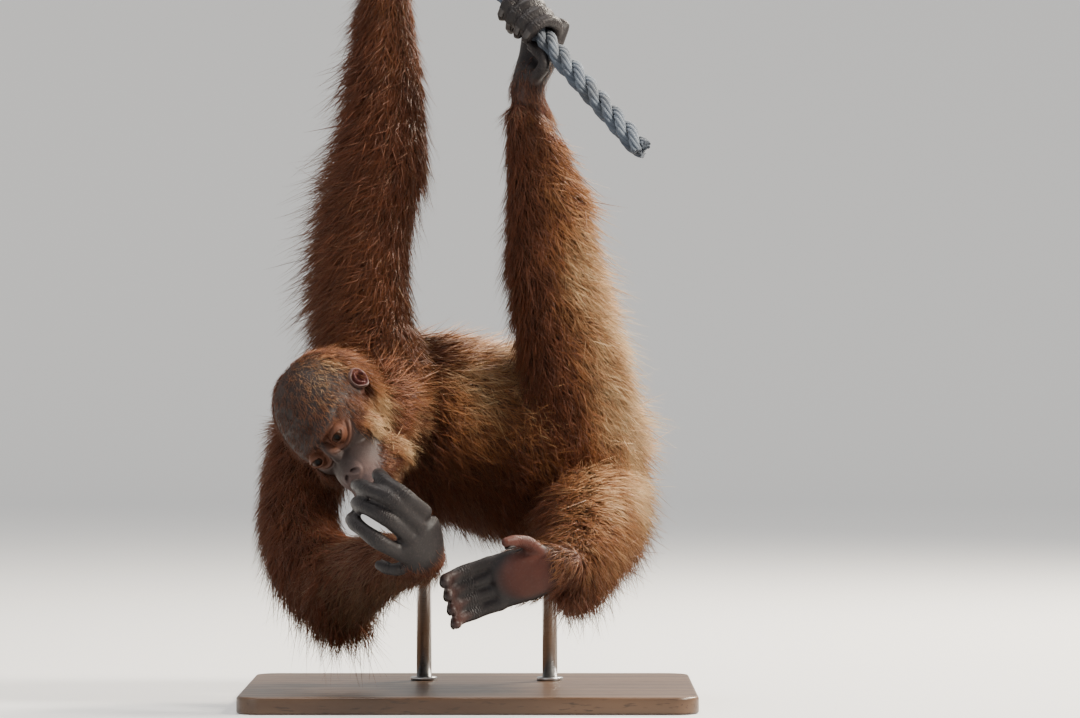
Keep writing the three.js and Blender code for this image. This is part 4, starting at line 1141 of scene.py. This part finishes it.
def dressSkin():
    mesh = skin.data
    points = rowsOf(mesh.vertices, "co") / mm
    zone = zoneOf(np.arange(len(points)))
    fields = coatFields(points)
    head = headFields(points)
    onHand = (zone > zones["trunk"]) & (zone < zones["head"])
    isHead, isEar = zone == zones["head"], zone > zones["head"]
    bare = np.where(onHand, np.where(isExtremity[fields["nearest"]], smoothStep(0.1, 0.5, fields["t"]), 1), 0)
    bare = np.where(onHand & (fields["level"] > 1.25), 1, bare)
    bare = np.where(isHead, np.where(head["thick"] < 1.1, 1, 0.5), bare)
    bare = np.where(isEar, 1, bare)
    reach, fold = digitFolds(points, zone)
    tone = np.tile(np.array(tones["under"]), (len(points), 1))
    tone = blendTone(tone, "slate", onHand.astype(float))
    sole = (zone == zones["footRight"]) * smoothStep(0, -6, points[:, 1] + 198)
    sole = sole * smoothStep(-34, 30, points[:, 0])
    sole = sole * smoothStep(92, 80, points[:, 0] + 0.15 * (points[:, 2] - 140))
    tone = blendTone(tone, "sole", sole)
    local = (points - headCentre) @ headAxes.T
    left, crown, face = np.abs(local[:, 0]), local[:, 1], local[:, 2]
    onFace = isHead.astype(float)
    tone = blendTone(tone, "face", onFace)
    tone = blendTone(tone, "brow", onFace * smoothStep(8, 24, crown))
    ring = np.hypot((left - eye["left"]) / 1.2, crown + 1.0)
    tone = blendTone(tone, "orbit", onFace * (face > 25) * 0.85 * smoothStep(17, 9, ring))
    muzzle = bell(np.hypot(left / 30, (crown + 42) / 19), 1.0) * smoothStep(40, 62, face)
    tone = blendTone(tone, "muzzle", onFace * smoothStep(0.25, 0.75, muzzle))
    # painted shade: the middle of the muzzle round the nose is taken back towards the dark face tone
    tone = blendTone(tone, "face", onFace * 0.45 * bell(np.hypot(left / 12, (crown + 27) / 9), 1.0))
    lipLine = bell(crown - mouth["crown"], 3.4) * smoothStep(34, 24, left) * (face > 50)
    tone = blendTone(tone, "lips", onFace * 0.7 * lipLine)
    for side in (1, -1):
        centre = np.array([side * ear["left"], ear["crown"], ear["face"]])
        off = local - centre
        ringEar = np.hypot(off[:, 1] / ear["high"], (off[:, 2]) / ear["wide"])
        onEar = isEar & (local[:, 0] * side > 0)
        tone = blendTone(tone, "earRim", onEar * 1.0)
        # painted glow: the ear's middle is dark red, as light shining through it would show
        tone = blendTone(tone, "earPaintedGlow", onEar * smoothStep(0.92, 0.7, ringEar))
    layer = mesh.attributes.new("tone", "FLOAT_COLOR", "POINT")
    layer.data.foreach_set("color", np.hstack([tone, np.ones((len(points), 1))]).astype(np.float32).ravel())
    addValues(mesh, "bare", bare)
    addValues(mesh, "reach", reach)
    addValues(mesh, "fold", fold)
    # the skin under the coat takes the same painted sunlight in its gold value
    sun = paintedSunlight(rowsOf(mesh.vertices, "normal"))
    addValues(mesh, "gold", np.where(isHead, head["gold"], fields["gold"]) * sun)
    skin.data.materials.append(makeSkinMaterial())


# Eyes and nails


def finished(name, bm, material):
    faceOut(bm)
    mesh = meshOf(name, bm)
    for face in mesh.polygons:
        face.use_smooth = len(face.vertices) < 5  # the flat ends have more sides
    obj = linked(name, mesh)
    obj.data.materials.append(material)
    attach(obj, "root")
    return obj


def makeEyes():
    material = makeEyeMaterial()
    for side, word in ((1, "left"), (-1, "right")):
        centre = inHead(eye["left"] * side, 0, eye["face"])
        gaze = unit(headAxes[2] + 0.30 * np.array([0.1, -1, 0.15]))
        bm = bmesh.new()
        verts, co = unitBall(bm, 48, 40)
        turn = np.array(Vector((0, 0, 1)).rotation_difference(Vector(gaze)).to_matrix())
        ring = np.arccos(np.clip(co[:, 2], -1, 1)) * eye["radius"]
        bulge = 0.7 * smoothStep(6.2, 2.0, ring)
        moveTo(verts, centre + (co @ turn.T) * (eye["radius"] + bulge)[:, None])
        ball = finished("eyeball_" + word, bm, material)
        addValues(ball.data, "ring", ring)
        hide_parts("eye_" + word)


nail = {"length": 9.5, "behind": 4.5, "thick": 0.9, "curl": 0.95}


def makeNails():
    bm = bmesh.new()
    for bodies in extremities.values():
        for body in bodies[1:]:
            cut = sections(body, np.array([0.9]))
            path = curveAt(body["path"], np.array([0.7, 0.85, 1.0]))
            along = cut["along"][0]
            back = 2 * path[1] - path[0] - path[2]  # the outer side of the digit's bend
            back = unit(back - along * (back @ along))
            side = np.cross(along, back)
            radius = cut["wide"][0, 0]
            plate = bmesh.ops.create_grid(bm, x_segments=8, y_segments=6, size=1)["verts"]
            for v in plate:
                s = (v.co.y + 1) / 2
                narrow = math.sqrt(1 - max(0.0, s - 0.7) ** 2 * 5)
                turn = v.co.x * nail["curl"] * narrow
                lift = radius + 0.1 + 0.5 * s
                v.co = (cut["centre"][0] + along * (nail["length"] * s - nail["behind"])
                        + side * math.sin(turn) * lift * 0.86 + back * math.cos(turn) * lift * 0.93) * mm
            faces = list({face for v in plate for face in v.link_faces})
            bmesh.ops.solidify(bm, geom=faces, thickness=nail["thick"] * mm)
    finished("nails", bm, makeNailMaterial())


# Rope: three strands of twisted yarns, cut square at both ends


def yarnTube(sides, steps):  # a closed straight tube one unit long, cut into rings
    bm = bmesh.new()
    bmesh.ops.create_cone(bm, cap_ends=True, segments=sides, radius1=1, radius2=1, depth=1)
    lengthwise = [edge for edge in bm.edges if abs(edge.verts[0].co.z - edge.verts[1].co.z) > 0.5]
    bmesh.ops.subdivide_edges(bm, edges=lengthwise, cuts=steps - 1)
    return meshOf("yarnTube", bm)


def makeRope():
    lower = rope["footGrip"] + rope["along"] * rope["lowerEnd"]
    upper = rope["handGrip"] - rope["along"] * rope["upperEnd"]
    length = np.linalg.norm(lower - upper)
    strand = rope["radius"] * 0.464
    yarn = strand * 0.40
    s = np.linspace(0, 1, rope["steps"] + 1)[:, None]
    line = upper + (lower - upper) * s
    sideways = np.cross(rope["along"], ropeSide)
    tube = yarnTube(rope["sides"], rope["steps"])
    shape = rowsOf(tube.vertices, "co")
    ring = np.rint((shape[:, 2] + 0.5) * rope["steps"]).astype(int)
    rng = np.random.default_rng(5)
    bm = bmesh.new()
    points, shade = [], []
    for k in range(3):
        turn = math.tau * (s * length / rope["lay"] + k / 3)
        out = np.cos(turn) * ropeSide + np.sin(turn) * sideways
        strandLine = line + out * (rope["radius"] - strand)
        ahead = unit(np.gradient(strandLine, axis=0))
        first = unit(out - ahead * dot(out, ahead))
        second = np.cross(ahead, first)
        for j in range(rope["yarns"] + 1):
            spin = -math.tau * (s * length / rope["twist"] + j / rope["yarns"])
            aside = strand - yarn if j < rope["yarns"] else 0
            yarnLine = strandLine + (np.cos(spin) * first + np.sin(spin) * second) * aside
            tangent = unit(np.gradient(yarnLine, axis=0))
            one = unit(first - tangent * dot(first, tangent))
            two = np.cross(tangent, one)
            points.append(yarnLine[ring] + (one[ring] * shape[:, :1] + two[ring] * shape[:, 1:2]) * yarn)
            shade += [rng.random()] * len(shape)
            bm.from_mesh(tube)
    moveTo(bm.verts, np.vstack(points))
    obj = finished("rope", bm, makeRopeMaterial())
    copies = len(obj.data.vertices) // len(shape)
    addValues(obj.data, "along", np.tile((shape[:, 2] + 0.5) * length, copies))
    addValues(obj.data, "around", np.tile(np.arctan2(shape[:, 1], shape[:, 0]) / math.tau + 0.5, copies))
    addValues(obj.data, "shade", shade)
    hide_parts("perch_rope")
    print("stage: rope,", len(obj.data.polygons), "faces")


# Display stand

stand = {"wide": 470.0, "deep": 380.0, "thick": 18.0, "corner": 26.0, "ease": 3.0, "rod": 8.0,
         "collar": {"radius": 14.0, "high": 4.0, "ease": 1.2},
         "rods": {"stand_rod_chest": (-50, 72, 222), "stand_rod_hips": (84, 66, 196)}}


def addTurned(bm, x, y, low, high, radius, ease):  # an upright round bar with an eased top
    made = bmesh.ops.create_cone(bm, cap_ends=True, segments=64, radius1=radius * mm, radius2=radius * mm,
                                 depth=(high - low) * mm)["verts"]
    bmesh.ops.translate(bm, verts=made, vec=(x * mm, y * mm, (low + high) / 2 * mm))
    top = [v for v in made if v.co.z > (low + high) / 2 * mm]
    rim = [edge for edge in bm.edges if edge.verts[0] in top and edge.verts[1] in top]
    bmesh.ops.bevel(bm, geom=rim, offset=ease * mm, segments=4, profile=0.5, affect="EDGES", material=-1)


def makeStand():
    bm = bmesh.new()
    block = bmesh.ops.create_cube(bm, size=mm)["verts"]
    bmesh.ops.scale(bm, vec=(stand["wide"], stand["deep"], stand["thick"]), verts=block)
    bmesh.ops.translate(bm, vec=(0, 0, stand["thick"] / 2 * mm), verts=block)
    upright = [edge for edge in bm.edges if abs(edge.verts[0].co.z - edge.verts[1].co.z) > mm]
    bmesh.ops.bevel(bm, geom=upright, offset=stand["corner"] * mm, segments=14, profile=0.5, affect="EDGES",
                    material=-1)
    bm.normal_update()
    rims = [edge for edge in bm.edges if abs(edge.verts[0].co.z - edge.verts[1].co.z) < mm
            and any(abs(face.normal.z) > 0.9 for face in edge.link_faces)]
    bmesh.ops.bevel(bm, geom=rims, offset=stand["ease"] * mm, segments=6, profile=0.5, affect="EDGES",
                    material=-1)
    base = finished("stand_plinth", bm, makeWoodMaterial())
    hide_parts("stand_base")
    steel = makeSteelMaterial()
    collar = stand["collar"]
    for name, (x, y, top) in stand["rods"].items():
        bm = bmesh.new()
        addTurned(bm, x, y, stand["thick"], top, stand["rod"], 2.0)
        addTurned(bm, x, y, stand["thick"], stand["thick"] + collar["high"], collar["radius"], collar["ease"])
        rod = finished(name + "_polished", bm, steel)
        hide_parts(name)


dressSkin()
makeEyes()
makeNails()
makeRope()
makeStand()
growCoat()
